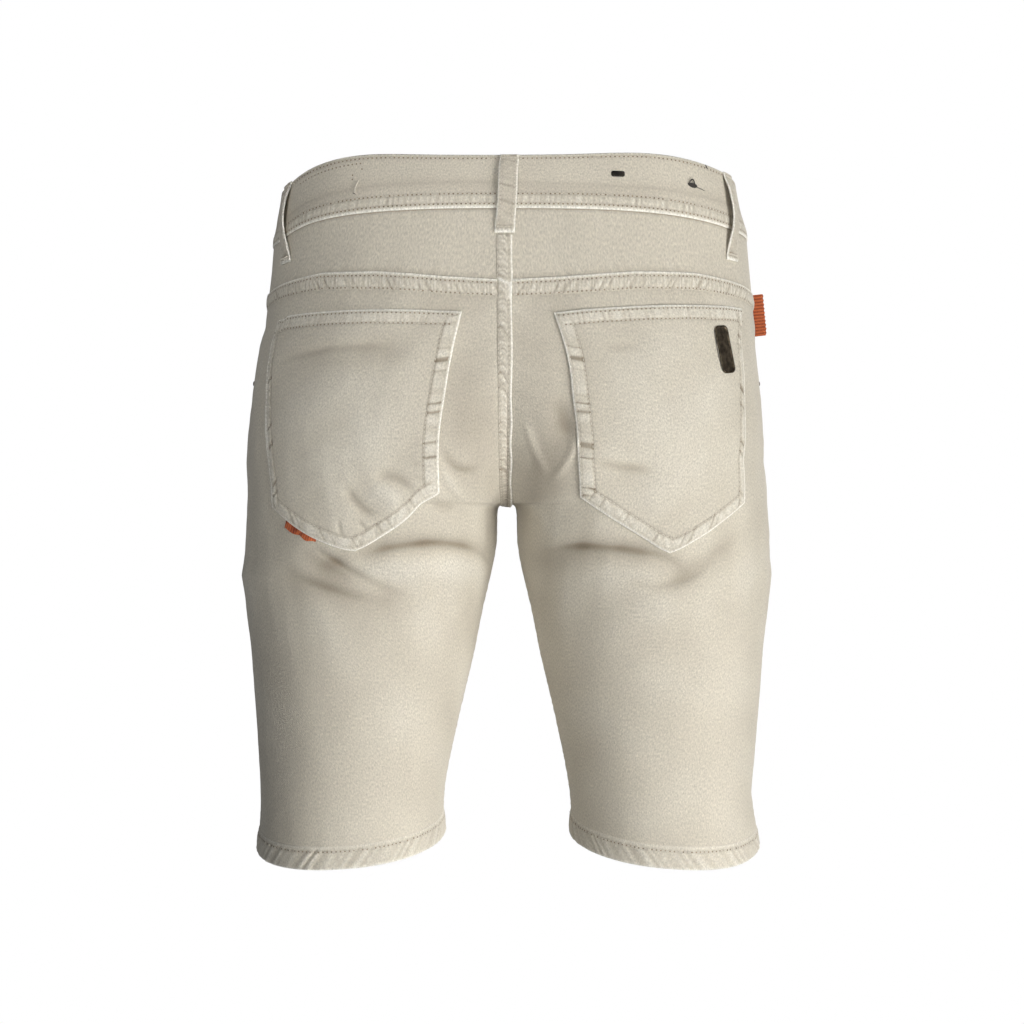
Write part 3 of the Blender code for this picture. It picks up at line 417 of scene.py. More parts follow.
def cloth_piece(name, outer, inner, pattern, wear_and_shade, finish, closed=False):
    """A wall of cloth: the outer grid, every second point of the inner one, and a rim between them.

    Each rim face takes two steps of the outer border and one of the inner border. pattern has the
    weave's places u and v in millimetres, and the wear grid says how faded (+) or how dark (-) the cloth
    is: real wear, painted shade in its creases, dips and seams, and a painted highlight on the back pockets.
    """
    thin = inner[::2, ::2]
    pattern = np.stack(np.broadcast_arrays(*pattern), axis=2)
    count = outer.shape[0] * outer.shape[1]
    index = np.arange(count).reshape(outer.shape[:2])
    under = count + np.arange(thin.shape[0] * thin.shape[1]).reshape(thin.shape[:2])
    faces = quads(index, closed).tolist() + quads(under, closed)[:, ::-1].tolist()
    for out_ring, in_ring in zip(ring(index, closed), ring(under, closed)):
        rim = [out_ring[:-2:2], in_ring[:-1], in_ring[1:], out_ring[2::2], out_ring[1::2]]
        faces += np.stack(rim, axis=1).tolist()
    r, c = outer.shape[0] // 2, outer.shape[1] // 2
    turn = np.cross(outer[r, c + 1] - outer[r, c], outer[r + 1, c] - outer[r, c])
    if turn @ (outer[r, c] - inner[r, c]) < 0:
        faces = [face[::-1] for face in faces]
    mesh = new_mesh(name, np.concatenate([outer.reshape(-1, 3), thin.reshape(-1, 3)]), faces, finish)
    spots = np.concatenate([pattern.reshape(-1, 2), pattern[::2, ::2].reshape(-1, 2)]) * MM
    corners = np.empty(len(mesh.loops), int)
    mesh.loops.foreach_get("vertex_index", corners)
    weave = mesh.uv_layers.new(name="weave")
    weave.data.foreach_set("uv", spots[corners].ravel().astype(np.float32))
    # The attribute holds real wear and painted shade; the inner side takes less of it.
    faded = mesh.attributes.new("wear_and_shade", "FLOAT", "POINT")
    values = np.concatenate([wear_and_shade.ravel(), 0.3 * wear_and_shade[::2, ::2].ravel()])
    faded.data.foreach_set("value", values.astype(np.float32))
    mesh.shade_smooth()
    mesh.set_sharp_from_angle(angle=1.1)
    return add_piece(mesh)


def blank_finish(name, settings):
    """A new material with its nodes, its links and its shader, which takes the settings."""
    finish = bpy.data.materials.new(name)
    finish.use_nodes = True
    shader = finish.node_tree.nodes["Principled BSDF"]
    for socket, value in settings.items():
        shader.inputs[socket].default_value = value
    return finish, finish.node_tree.nodes, finish.node_tree.links, shader


def denim(name, base, faded, shaded):
    """Washed ecru stretch denim: steep twill, uneven yarns, grain, clouds, wear and painted shade.

    The colour is the base, taken towards the faded one by wear or towards the shaded one by wear and painted
    shade, then made lighter and darker by long thin slubs, fine grain and slow clouds. The bump adds the
    twill.
    """
    finish, nodes, links, shader = blank_finish(name, {
        "Roughness": 0.93, "Specular IOR Level": 0.2, "Sheen Weight": 0.18, "Sheen Roughness": 0.5})
    weave = nodes.new("ShaderNodeUVMap")
    weave.uv_map = "weave"

    def spread(across, along, turn=0.0):
        """The weave's place scaled to a size across and along the cloth, in millimetres."""
        node = nodes.new("ShaderNodeMapping")
        node.inputs["Rotation"].default_value = (0, 0, turn)
        node.inputs["Scale"].default_value = (1 / (across * MM), 1 / (along * MM), 1)
        links.new(weave.outputs["UV"], node.inputs["Vector"])
        return node.outputs["Vector"]

    def noise(where, detail):
        """Uneven lumps from 0 to 1, with finer ones on them."""
        node = nodes.new("ShaderNodeTexNoise")
        node.inputs["Scale"].default_value = 1.0
        node.inputs["Detail"].default_value = detail
        node.inputs["Roughness"].default_value = 0.6
        links.new(where, node.inputs["Vector"])
        return node.outputs["Fac"]

    def between(value, low, high, to_low, to_high):
        """A value between low and high brought between two others, and kept there."""
        node = nodes.new("ShaderNodeMapRange")
        for socket, number in zip(("From Min", "From Max", "To Min", "To Max"), (low, high, to_low, to_high)):
            node.inputs[socket].default_value = number
        links.new(value, node.inputs["Value"])
        return node.outputs["Result"]

    def math(kind, one, two):
        """Two values, or a value and a number, put together."""
        node = nodes.new("ShaderNodeMath")
        node.operation = kind
        for socket, value in zip(node.inputs, (one, two)):
            if isinstance(value, float):
                socket.default_value = value
            else:
                links.new(value, socket)
        return node.outputs["Value"]

    def mixed(share, one, two):
        """A share of the way from one colour to another."""
        node = nodes.new("ShaderNodeMix")
        node.data_type = "RGBA"
        links.new(share, node.inputs["Factor"])
        for socket, value in ((node.inputs[6], one), (node.inputs[7], two)):
            if isinstance(value, tuple):
                socket.default_value = (*value, 1.0)
            else:
                links.new(value, socket)
        return node.outputs[2]

    slubs = noise(spread(1.0, 14.0), 2.0)
    yarns = noise(spread(0.55, 2.1), 2.0)
    grain = noise(spread(1.3, 1.6), 3.0)
    clouds = noise(spread(38.0, 55.0), 2.0)
    twill = nodes.new("ShaderNodeTexWave")
    twill.inputs["Scale"].default_value = 0.3142
    twill.inputs["Distortion"].default_value = 0.6
    twill.inputs["Detail Scale"].default_value = 0.4
    links.new(spread(0.9, 0.9, 1.08), twill.inputs["Vector"])
    wear_shade_node = nodes.new("ShaderNodeAttribute")
    wear_shade_node.attribute_name = "wear_and_shade"
    uneven_wear_and_shade = math("MULTIPLY", wear_shade_node.outputs["Fac"], between(grain, 0.25, 0.75, 0.72, 1.28))
    colour = mixed(between(uneven_wear_and_shade, 0.0, 1.0, 0.0, 1.0), base, faded)
    colour = mixed(between(uneven_wear_and_shade, 0.0, -1.0, 0.0, 1.0), colour, shaded)
    light = math("ADD", between(slubs, 0.3, 0.7, -0.03, 0.03), between(yarns, 0.3, 0.7, -0.14, 0.14))
    light = math("ADD", light, between(grain, 0.3, 0.7, -0.17, 0.17))
    light = math("ADD", light, between(clouds, 0.3, 0.7, -0.03, 0.03))
    light = math("ADD", light, between(twill.outputs["Fac"], 0.0, 1.0, 0.97, 1.03))
    shade = nodes.new("ShaderNodeMix")
    shade.data_type = "RGBA"
    shade.blend_type = "MULTIPLY"
    shade.inputs["Factor"].default_value = 1.0
    links.new(colour, shade.inputs[6])
    links.new(light, shade.inputs[7])
    links.new(shade.outputs[2], shader.inputs["Base Color"])
    height = math("ADD", math("MULTIPLY", twill.outputs["Fac"], 0.45), math("MULTIPLY", yarns, 0.5))
    height = math("ADD", height, math("MULTIPLY", slubs, 0.35))
    height = math("ADD", height, math("MULTIPLY", grain, 0.8))
    bump = nodes.new("ShaderNodeBump")
    bump.inputs["Strength"].default_value = 0.5
    bump.inputs["Distance"].default_value = 0.00035
    links.new(height, bump.inputs["Height"])
    links.new(bump.outputs["Normal"], shader.inputs["Normal"])
    return finish


ECRU = (0.60, 0.555, 0.464)
ECRU_FADED = (0.88, 0.855, 0.78)
ECRU_SHADED = (0.25, 0.205, 0.15)
panel_denim = denim("panel denim", ECRU, ECRU_FADED, ECRU_SHADED)


def yoke_seam(share):
    """Level of the yoke seam at a share of the way from the middle to the side."""
    at, z = np.array(YOKE_SEAM).T
    return np.interp(share, at, z)


def run_along(points):
    """Distances of a line's points from its start, along the line."""
    return np.append(0, np.cumsum(np.linalg.norm(np.diff(points, axis=0), axis=1)))


def unit(vectors):
    """Vectors brought to a length of 1."""
    return vectors / np.linalg.norm(vectors, axis=1, keepdims=True)


def rise_levels(face, top, count):
    """Heights at even steps along the seat seam, from its top to the crotch."""
    z = CROTCH_Z + (top - CROTCH_Z) * np.linspace(1, 0, 1200) ** 3
    line = surface(face, width(face, z), z)
    length = run_along(line)
    return np.interp(np.linspace(0, length[-1], count), length, z)


def panel_levels(face, top, shares, step):
    """Levels of a panel's grid, whose rows fan out from the rise and the inseam to the side seam.

    Along the inner edge they keep even steps of cloth, along the side seam even steps of level,
    and the row through the crotch falls by CROTCH_DROP on its way to the side.
    """
    fan = 1 - (1 - shares) ** 1.5
    crotch_row = CROTCH_Z - CROTCH_DROP * fan
    rise_rows = 2 * round((top[0] - CROTCH_Z + 20) / step / 2)
    edge = rise_levels(face, top[0], rise_rows)
    edge[-1] = CROTCH_Z
    edge = (edge[0] - edge) / (edge[0] - edge[-1])
    down = edge[:, None] * (1 - fan) + np.linspace(0, 1, rise_rows)[:, None] * fan
    upper = top + (crotch_row - top) * down
    start = CROTCH_Z - CROTCH_STEPS[-1]
    leg_rows = 2 * round((start - HEM_TOP) / step / 2)
    leg = np.concatenate([CROTCH_Z - np.array(CROTCH_STEPS[1:]), np.linspace(start, HEM_TOP, leg_rows)[1:]])
    if (rise_rows + len(leg)) % 2 == 0:
        leg = np.delete(leg, -2)
    edge = (CROTCH_Z - leg) / (CROTCH_Z - leg[-1])
    even = np.arange(1, len(leg) + 1) / len(leg)
    down = edge[:, None] * (1 - fan) + even[:, None] * fan
    return np.concatenate([upper, crotch_row + (HEM_TOP - crotch_row) * down])


def distances(face, z, shares):
    """Distances from the side seam at shares of the way, half a gap inside both seams."""
    return SEAM_GAP / 2 + (width(face, z) - SEAM_GAP) * (1 - shares)


def pinches(along, period, key):
    """Uneven puckers along a seam, from -1 to 1: a wave whose step and strength drift."""
    draw = np.random.default_rng(key)
    first, second, third = draw.uniform(0, 2 * np.pi, 3)
    phase = 2 * np.pi * along / period
    phase = phase + 1.3 * np.sin(phase / 2.7 + first) + 0.8 * np.sin(phase / 6.1 + second)
    return np.sin(phase) * (0.62 + 0.38 * np.sin(phase / 4.3 + third))


def keep_half(points, side):
    """Keep a half's piece off the middle plane by half a seam gap."""
    points[..., 0] = side * np.maximum(side * points[..., 0], SEAM_GAP / 2)
    return points


def seam_puckers(distance, along, key, reach, height, period):
    """Puckers that a tight seam draws into the cloth beside it, fading away from it."""
    return height * np.exp(-np.abs(distance / reach) ** 1.4) * pinches(along, period, key)


def back_panel(word, side):
    """Grid of a back panel with its seams' dips and puckers, and the wear and painted shade that go with
    them.
    """
    shares = marks(BACK_ACROSS, BACK_STEP) / BACK_ACROSS
    z = panel_levels(0, yoke_seam(shares) - SEAM_GAP, shares, BACK_STEP)
    a = distances(0, z, shares)
    inside = width(0, z) - a
    lift = -edge_drop(a, 1.6, 0.9) - edge_drop(inside, 1.6, 0.9)
    lift = lift + seam_puckers(a, z, 31 + side, 6.0, 0.30, 9.0)
    lift = lift + seam_puckers(inside, z + 0.5 * inside, 41 + side, 10.0, 0.32, 8.0)
    under_yoke = yoke_seam(shares) - FELL_WIDTH - z
    lift = lift + seam_puckers(np.maximum(under_yoke, 0), a + 0.4 * under_yoke, 51 + side, 6.0, 0.25, 8.5)
    outer, inner = (keep_half(place(0, side, a, z, value), side) for value in (lift, lift - CLOTH))
    # Painted shade: the colour follows the lift, darker in the dips and at the rounded seam edges, with a
    # thin dark line just under the yoke's felled seam; the side seam's edge is faded.
    wear_and_shade = fold_wear_and_shade(0, side, a, z) + 0.30 * lift
    wear_and_shade = wear_and_shade + 0.10 * bell(a - 3, 3.0) - 0.15 * bell(under_yoke, 2.5)
    wear_and_shade = wear_and_shade + 0.05 * ripple(a * side, z, 60.0, 61 + side)
    return cloth_piece("cloth_back_" + word, outer, inner, (a * side, z), wear_and_shade, panel_denim)


for word, side in HALVES:
    back_panel(word, side)
    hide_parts("back_" + word)

# ---------------------------------------------------------------------------------------------
# Yokes: the two shallow pieces between the waistband and the back panels, which shape the cloth over
# the seat. Their upper edge runs into the waistband.
# ---------------------------------------------------------------------------------------------
TUCK = 0.5                  # how far a piece runs into the one that holds its edge
YOKE_ACROSS, YOKE_DOWN = 290.0, 34.0    # its size, by which its points are spaced


def yoke_panel(word, side):
    """Grid of a yoke, with the puckers of the waistband's foot and of the seam below it, and painted shadows
    along both.
    """
    shares = marks(YOKE_ACROSS, 1.5) / YOKE_ACROSS
    down = marks(YOKE_DOWN, 1.5)[:, None] / YOKE_DOWN
    z = (BAND_LOW + TUCK) * (1 - down) + (yoke_seam(shares) - TUCK) * down
    a = distances(0, z, shares)
    inside = width(0, z) - a
    lift = -edge_drop(a, 1.6, 0.9) - edge_drop(inside, 1.4, 0.7)
    lift = lift + seam_puckers(BAND_LOW - z, a, 71 + side, 5.0, 0.22, 8.0)
    lift = lift + seam_puckers(z - yoke_seam(shares), a - 0.5 * z, 81 + side, 6.0, 0.30, 9.0)
    outer, inner = (keep_half(place(0, side, a, z, value), side) for value in (lift, lift - CLOTH))
    # Painted shade: the colour follows the lift, with a dark band above the felled seam's fold and one under
    # the waistband's foot.
    wear_and_shade = 0.4 * lift - 0.25 * bell(z - yoke_seam(shares), 1.8)
    wear_and_shade = wear_and_shade - 0.7 * bell(BAND_LOW - z, 1.1)
    return cloth_piece("cloth_yoke_" + word, outer, inner, (a * side, z), wear_and_shade, panel_denim)


for word, side in HALVES:
    yoke = yoke_panel(word, side)
    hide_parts("yoke_" + word)

# ---------------------------------------------------------------------------------------------
# Felled seams: the yoke seams, the seat seam and the seam under the fly. One edge is folded round the
# other and laid flat under two rows of lockstitch in thread of the cloth's own colour, so the seam
# stands proud, ropes into slanting puckers, and fades along its fold.
# ---------------------------------------------------------------------------------------------
STITCH = 3.3                # from one needle hole to the next
THREAD = 0.27               # radius
NEEDLE_HOLE = 0.70          # radius of the shaded dip round a hole
FOLD_ROW = 2.3              # from a felled seam's fold to its first row of stitches
FAR_ROW = 1.3               # from its second row to the far side
FELL_EDGE = (0.0, 0.25, 0.6, 1.1)   # its points near both edges
THREAD_COLOUR = (0.66, 0.61, 0.52)
HOLE_COLOUR = (0.19, 0.15, 0.11)


def fine_noise(nodes, links, scale, detail=2.0):
    """Noise that is fixed to the piece: how grainy it is, and how many finer layers it has."""
    place_on = nodes.new("ShaderNodeTexCoord")
    noise = nodes.new("ShaderNodeTexNoise")
    noise.inputs["Scale"].default_value = scale
    noise.inputs["Detail"].default_value = detail
    links.new(place_on.outputs["Object"], noise.inputs["Vector"])
    return noise.outputs["Fac"]


def coloured(nodes, links, shader, value, low, high):
    """Colour the shader by a value: low and high have a value and the colour it stands for."""
    ramp = nodes.new("ShaderNodeValToRGB")
    for element, (position, colour) in zip(ramp.color_ramp.elements, (low, high)):
        element.position = position
        element.color = (*colour, 1.0)
    links.new(value, ramp.inputs["Fac"])
    links.new(ramp.outputs["Color"], shader.inputs["Base Color"])


def bumpy(nodes, links, shader, value, strength, depth):
    """Roughen the shader's surface by a value, over a depth in metres."""
    bump = nodes.new("ShaderNodeBump")
    bump.inputs["Strength"].default_value = strength
    bump.inputs["Distance"].default_value = depth
    links.new(value, bump.inputs["Height"])
    links.new(bump.outputs["Normal"], shader.inputs["Normal"])


def scaled(colour, factor):
    """A colour made darker or lighter."""
    return tuple(factor * value for value in colour)


def thread_finish(name, colour):
    """Matt spun thread: the colour goes lighter and darker along it in short stretches."""
    finish, nodes, links, shader = blank_finish(name, {"Roughness": 0.75, "Sheen Weight": 0.2})
    fibre = fine_noise(nodes, links, 900.0)
    coloured(nodes, links, shader, fibre, (0.3, scaled(colour, 0.82)), (0.7, scaled(colour, 1.12)))
    return finish


def hole_finish():
    """The shaded dip round a needle hole, a little lighter here and there."""
    finish, nodes, links, shader = blank_finish("needle hole", {"Roughness": 1.0, "Specular IOR Level": 0.0})
    patch = fine_noise(nodes, links, 140.0)
    coloured(nodes, links, shader, patch, (0.35, HOLE_COLOUR), (0.75, scaled(HOLE_COLOUR, 2.1)))
    return finish


sewing_thread, needle_hole = thread_finish("sewing thread", THREAD_COLOUR), hole_finish()


def on_cloth(face, side, a, z, lift):
    """Points on the cloth and its normals there, on either half."""
    face, side, a, z, lift = (np.array(value) for value in np.broadcast_arrays(face, side, a, z, lift))
    points = place(face, side, a, z, lift)
    normals = np.where((face == 1)[:, None], outward(1, a, z), outward(0, a, z))
    normals[:, 0] *= side
    return points, normals


def along_row(points, normals, spacing):
    """Even steps along a line: the middle of each step, its direction and its normal."""
    length = run_along(points)
    count = max(1, round(length[-1] / spacing))
    ends = np.linspace(0, length[-1], count + 1)
    middle = (ends[1:] + ends[:-1]) / 2
    spots, centre, normal = (
        np.stack([np.interp(at, length, values[:, axis]) for axis in range(3)], axis=1)
        for values, at in ((points, ends), (points, middle), (normals, middle))
    )
    along = unit(spots[1:] - spots[:-1])
    across = unit(np.cross(normal, along))
    return centre, along, across, np.cross(along, across)


def small_copies(shape, faces, centre, along, across, up, start):
    """Points and faces of a small shape (x along, y across, z up) at each centre, numbered from start."""
    x, y, z = (shape[:, axis][None, :, None] for axis in range(3))
    copies = centre[:, None] + x * along[:, None] + y * across[:, None] + z * up[:, None]
    starts = start + np.arange(len(copies)) * len(shape)
    polygons = [one for face in faces for one in (starts[:, None] + np.array(face)).tolist()]
    return copies.reshape(-1, 3), polygons


def stitch_shape(length, radius, sides=5):
    """A stitch: four rings on a low arch, thin where the thread goes into the cloth, and both ends."""
    turn = np.arange(sides) * 2 * np.pi / sides
    x = np.array([-0.5, -0.36, 0.36, 0.5])[:, None] * length
    thick = np.array([0.45, 1.0, 1.0, 0.45])[:, None] * radius
    arch = np.array([-1.0, 0.25, 0.25, -1.0])[:, None] * radius
    rings = np.stack([x + 0 * turn, thick * np.cos(turn), arch + thick * np.sin(turn)], axis=2)
    index = np.arange(4 * sides).reshape(4, sides)
    faces = quads(index, True)[:, ::-1].tolist() + [index[0].tolist(), index[-1, ::-1].tolist()]
    return rings.reshape(-1, 3), faces


def sew(name, rows, spacing=STITCH, radius=THREAD, cover=0.72, shown=(True, True)):
    """Rows of lockstitch joined in one mesh: a stitch on each step and a needle hole between two.

    shown says whether the stitches and whether the holes are there.
    """
    shape, faces = stitch_shape(cover * spacing, radius)
    turn = np.arange(6) * np.pi / 3
    between = 0.5 * spacing + NEEDLE_HOLE * np.cos(turn)
    hole = np.stack([between, 0.85 * NEEDLE_HOLE * np.sin(turn), 0 * turn + 0.16], axis=1)
    forms = ((shape, faces), (hole, [list(range(6))]))
    points, polygons, kinds = [], [], []
    total = 0
    for row in rows:
        steps = along_row(*on_cloth(*row), spacing)
        for kind in (0, 1):
            if shown[kind]:
                copies, sides = small_copies(*forms[kind], *steps, total)
                points.append(copies)
                polygons += sides
                kinds += [kind] * len(sides)
                total += len(copies)
    mesh = new_mesh(name, np.concatenate(points), polygons, sewing_thread, needle_hole)
    mesh.polygons.foreach_set("material_index", kinds)
    mesh.shade_smooth()
    return add_piece(mesh)


def creases(along, period, key):
    """Sharp creases across a turned edge: 1 at the bottom of each, 0 on the cloth between two."""
    return np.exp(-np.maximum(1 + pinches(along, period, key) / 0.85, 0) ** 1.5 / 0.16)


def ladder(s, spacing, key):
    """Thin upright lines at an even spacing, some strong and some faint, from 0 to 1."""
    off = np.abs((s / spacing) % 1.0 - 0.5) * spacing
    strength = 0.6 + 0.4 * np.sin(s / 19 + key) * np.sin(s / 7.3 + 2 * key)
    return strength * bell(off, 0.55)


def fell_relief(w, full, s, key):
    """Lift, and wear with painted shade, of a felled seam at w from its fold and s along it.

    A low pillow between the stitch rows carries slanting puckers, short upright ticks and thin dark
    lines of painted shade; both rows are dips, darkened as painted shade like the puckers' sharp creases; the
    colour follows the puckers; the fold is rounded and faded; the far side sinks into the cloth.
    """
    first, second = FOLD_ROW, full - FAR_ROW
    rope = pinches(s + 0.9 * w, 6.8, key)
    ticks = pinches(s + 0.1 * w, 3.5, key + 50)
    pillow = np.sin(np.pi * np.clip((w - first) / (second - first), 0, 1))
    dips = bell(w - first, 0.75) + bell(w - second, 0.75)
    run_out = ease((w - second - 0.2) / 1.1)
    knots = creases(s + 0.9 * w, 7.4, key + 60) * ease((w - first) / 2.5)
    lift = 1.30 - 0.55 * ease((w - first) / (second - first)) + 0.34 * pillow
    lift = lift + (0.20 * rope + 0.12 * ticks) * (0.35 + 0.65 * pillow) - 0.24 * dips - 0.45 * knots
    lift = lift - edge_drop(w, 0.9, 0.55)
    wear_and_shade = 0.16 + (0.22 * rope + 0.34 * ticks) * (0.4 + 0.6 * pillow) + 0.95 * bell(w, 1.0)
    wear_and_shade = wear_and_shade - 0.45 * dips - 0.5 * knots - 0.42 * ladder(s, 4.6, key) * pillow
    return lift * (1 - run_out) - 0.35 * run_out, wear_and_shade * (1 - run_out)


YOKE_FELL = FELL_WIDTH + 1.0    # how wide it is with the far side that sinks into the cloth


def yoke_fell_places(start, w, share):
    """Places of a yoke's felled seam: w below its fold, at shares of the way to the side seam."""
    z = yoke_seam(share) + 0.2 - w
    return (width(0, z) - start - 0.4) * (1 - share) + 0.4, z


def yoke_fell(word, side, start):
    """Felled seam of one yoke, from near the middle to the side seam."""
    w = marks(YOKE_FELL, 0.8, FELL_EDGE)[:, None]
    share = marks(YOKE_ACROSS, 0.85) / YOKE_ACROSS
    a, z = yoke_fell_places(start, w, share)
    lift, wear_and_shade = fell_relief(w, YOKE_FELL, share * YOKE_ACROSS, 91 + side)
    outer, inner = (place(0, side, a, z, value) for value in (lift, np.minimum(lift - 0.4, 0.5)))
    return cloth_piece("felled_yoke_" + word, outer, inner, (a * side, z), wear_and_shade, panel_denim)


def yoke_rows(side, start):
    """Both stitch rows of a yoke's felled seam."""
    share = np.linspace(0.004, 0.996, 400)
    rows = []
    for w in (FOLD_ROW, YOKE_FELL - FAR_ROW):
        a, z = yoke_fell_places(start, w, share)
        lift = fell_relief(w + 0 * share, YOKE_FELL, share * YOKE_ACROSS, 91 + side)[0]
        rows.append((0, side, a, z, lift))
    return rows


for word, side, start in (("left", 1, 7.0), ("right", -1, 3.8)):
    felled = yoke_fell(word, side, start)
    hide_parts("yoke_fell_" + word)
    thread = sew("thread_yoke_" + word, yoke_rows(side, start))


def rise_lines(face, top, reach=14):
    """Places (a, z) on lines that keep their distance from the middle, from the top to the crotch."""
    offsets = np.arange(reach, dtype=float)
    shares = np.linspace(0, 1, 160)
    table = np.empty((len(offsets), len(shares), 2))
    points, lengths = TABLES[face]
    fine = np.linspace(0, 1, points.shape[1])
    for k, offset in enumerate(offsets):
        rows = [r for r in range(len(HEIGHTS)) if points[r, 0, 0] <= offset and HEIGHTS[r] <= top]
        if k == 0:
            rows = [r for r in rows if HEIGHTS[r] >= CROTCH_Z]
        rows = rows[::-1]
        at = np.array([np.interp(offset, points[r, :120, 0], fine[:120]) for r in rows])
        z = HEIGHTS[rows]
        a = lengths[rows] * (1 - at)
        run = run_along(surface(face, a, z))
        table[k, :, 0] = np.interp(shares * run[-1], run, a)
        table[k, :, 1] = np.interp(shares * run[-1], run, z)
    return shares, table


def rise_places(lines, x, share):
    """Half and place (a, z) of points x from the middle at a share of the way down the rise."""
    shares, table = lines
    k = np.minimum(np.abs(x).astype(int), table.shape[0] - 2)
    f = np.abs(x) - k
    at = np.interp(share, shares, np.arange(len(shares)))
    m = np.minimum(at.astype(int), len(shares) - 2)
    g = at - m
    spot = (
        table[k, m] * ((1 - f) * (1 - g))[..., None] + table[k + 1, m] * (f * (1 - g))[..., None]
        + table[k, m + 1] * ((1 - f) * g)[..., None] + table[k + 1, m + 1] * (f * g)[..., None]
    )
    return np.where(x >= 0, 1, -1), spot[..., 0], spot[..., 1]


def rise_edges(seam, share):
    """The seam's fold and far side, from the middle: the fold wanders a little along its length."""
    s = share * seam["length"]
    fold = seam["fold_top"] + (seam["fold_low"] - seam["fold_top"]) * share
    far = seam["far_top"] + (seam["far_low"] - seam["far_top"]) * share
    return fold + 0.35 * np.sin(s / 6.5 + 1.4 * np.sin(s / 21)) * ease((s - 16) / 10), far


def off_arch(share):
    """How much farther a seam along the rise stands off towards the crotch, where the legs part."""
    return 0.9 * np.clip((share - 0.80) / 0.12, 0, 1)


RISE_FELL = 11.0            # the width of a seam along the rise, by which its points are spaced
# Each seam along the rise: its piece and node, the face, its upper end, how far its fold and its far
# side are from the middle at both ends, and its length.
RISE_COLUMNS = ("name", "node", "face", "top", "fold_top", "fold_low", "far_top", "far_low", "length")
RISE_SEAMS = (
    ("felled_seat", "seat_fell", 0, -55.9, -3.9, -4.0, 8.4, 5.0, 232.0),
    ("felled_front", None, 1, -168.0, -3.4, -3.6, 5.6, 4.8, 118.0),
)
for row in RISE_SEAMS:
    seam = dict(zip(RISE_COLUMNS, row))
    lines = rise_lines(seam["face"], seam["top"])
    share = marks(seam["length"], 1.0)[:, None] / seam["length"] * 0.997
    across = marks(RISE_FELL, 0.7, FELL_EDGE) / RISE_FELL
    fold, far = rise_edges(seam, share)
    x = fold + (far - fold) * across
    w, full = x - fold, far - fold
    half, a, z = rise_places(lines, x, share * np.ones_like(x))
    lift, wear_and_shade = fell_relief(w, full, share * seam["length"], 101 + seam["face"])
    raised = off_arch(share)
    if seam["face"] == 0:
        # The left yoke seam's fold runs on across this seam and thickens it below.
        under = yoke_seam(0.0) + 0.2 - 2.6 * ease((6 - x) / 9) - z
        lift = lift + 0.5 * ease(under / 0.6) * ease((14 - under) / 12) * ease((full - w) / 2)
        thick = ease(under / 0.6) * ease((11 - under) / 3) * bell(w - 1.4, 1.6)
        wear_and_shade = wear_and_shade + 1.1 * bell(under, 0.8) + 0.7 * thick
        # It is darker along its lower half.
        wear_and_shade = wear_and_shade - 0.32 * ease((share - 0.45) / 0.35)
    outer = place(seam["face"], half, a, z, lift + raised)
    inner = place(seam["face"], half, a, z, np.minimum(lift - 0.4, 0.5) + 0.6 * raised)
    felled = cloth_piece(seam["name"], outer, inner, (x, -share * seam["length"]), wear_and_shade, panel_denim)
    if seam["node"]:
        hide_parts(seam["node"])
    rows = []
    down = np.linspace(0.004, 0.99, 500)
    for spot in (0, 1):
        fold, far = rise_edges(seam, down)
        x = fold + FOLD_ROW if spot == 0 else far - FAR_ROW
        half, a, z = rise_places(lines, x, down)
        lift = fell_relief(x - fold, far - fold, down * seam["length"], 101 + seam["face"])[0]
        rows.append((seam["face"], half, a, z, lift + off_arch(down)))
    thread = sew("thread_" + seam["name"], rows, shown=(True, seam["face"] == 1))

# ---------------------------------------------------------------------------------------------
# Back pockets: patch pockets of the same denim with a wide turned hem at the mouth, the edges turned
# under and sewn on with two rows. Washing has roped the turned edges and faded them.
# ---------------------------------------------------------------------------------------------
POCKET_LIFT = 2.1           # its outer side off the panel
POCKET_UNDER = 0.9          # its inner side off the panel, at most
POCKET_STEP = 1.0           # between its points
POCKET_SPAN = 150.0         # its size both ways, by which they are spaced
POCKET_HEM = 9.8            # from the mouth's edge to its lower stitch row
POCKET_EDGE = 1.9           # from the other edges to their outer row
POCKET_BANDS = (11.0, 6.8, 9.2)     # to the inner row: along the inner side, the outer side and the point
# The mouth's level at the inner side, in the middle and at the outer side, and the lower edge's at the
# inner side, at its point and at the outer side.
POCKET_MOUTH_COLUMNS = ("side", "in_z", "middle_z", "out_z")
POCKET_MOUTHS = ((1, -98.0, -96.6, -100.0), (-1, -98.8, -93.2, -93.0))
POCKET_POINT_COLUMNS = ("side", "in_z", "tip_a", "tip_z", "out_z")
POCKET_POINTS = ((1, -226.5, 152.5, -270.5, -237.0), (-1, -230.0, 144.0, -272.0, -234.0))
# Both sides of each pocket, at shares of the way down from the mouth to the corner.
POCKET_SIDE_COLUMNS = ("down", "left_in", "left_out", "right_in", "right_out")
POCKET_SIDES = (
    (0.0, 222.5, 68.0, 222.0, 65.4),
    (0.22, 223.5, 70.0, 219.8, 72.6),
    (0.5, 223.9, 77.4, 221.0, 78.4),
    (0.75, 221.6, 84.6, 218.6, 83.4),
    (1.0, 218.5, 86.4, 213.9, 84.2),
)


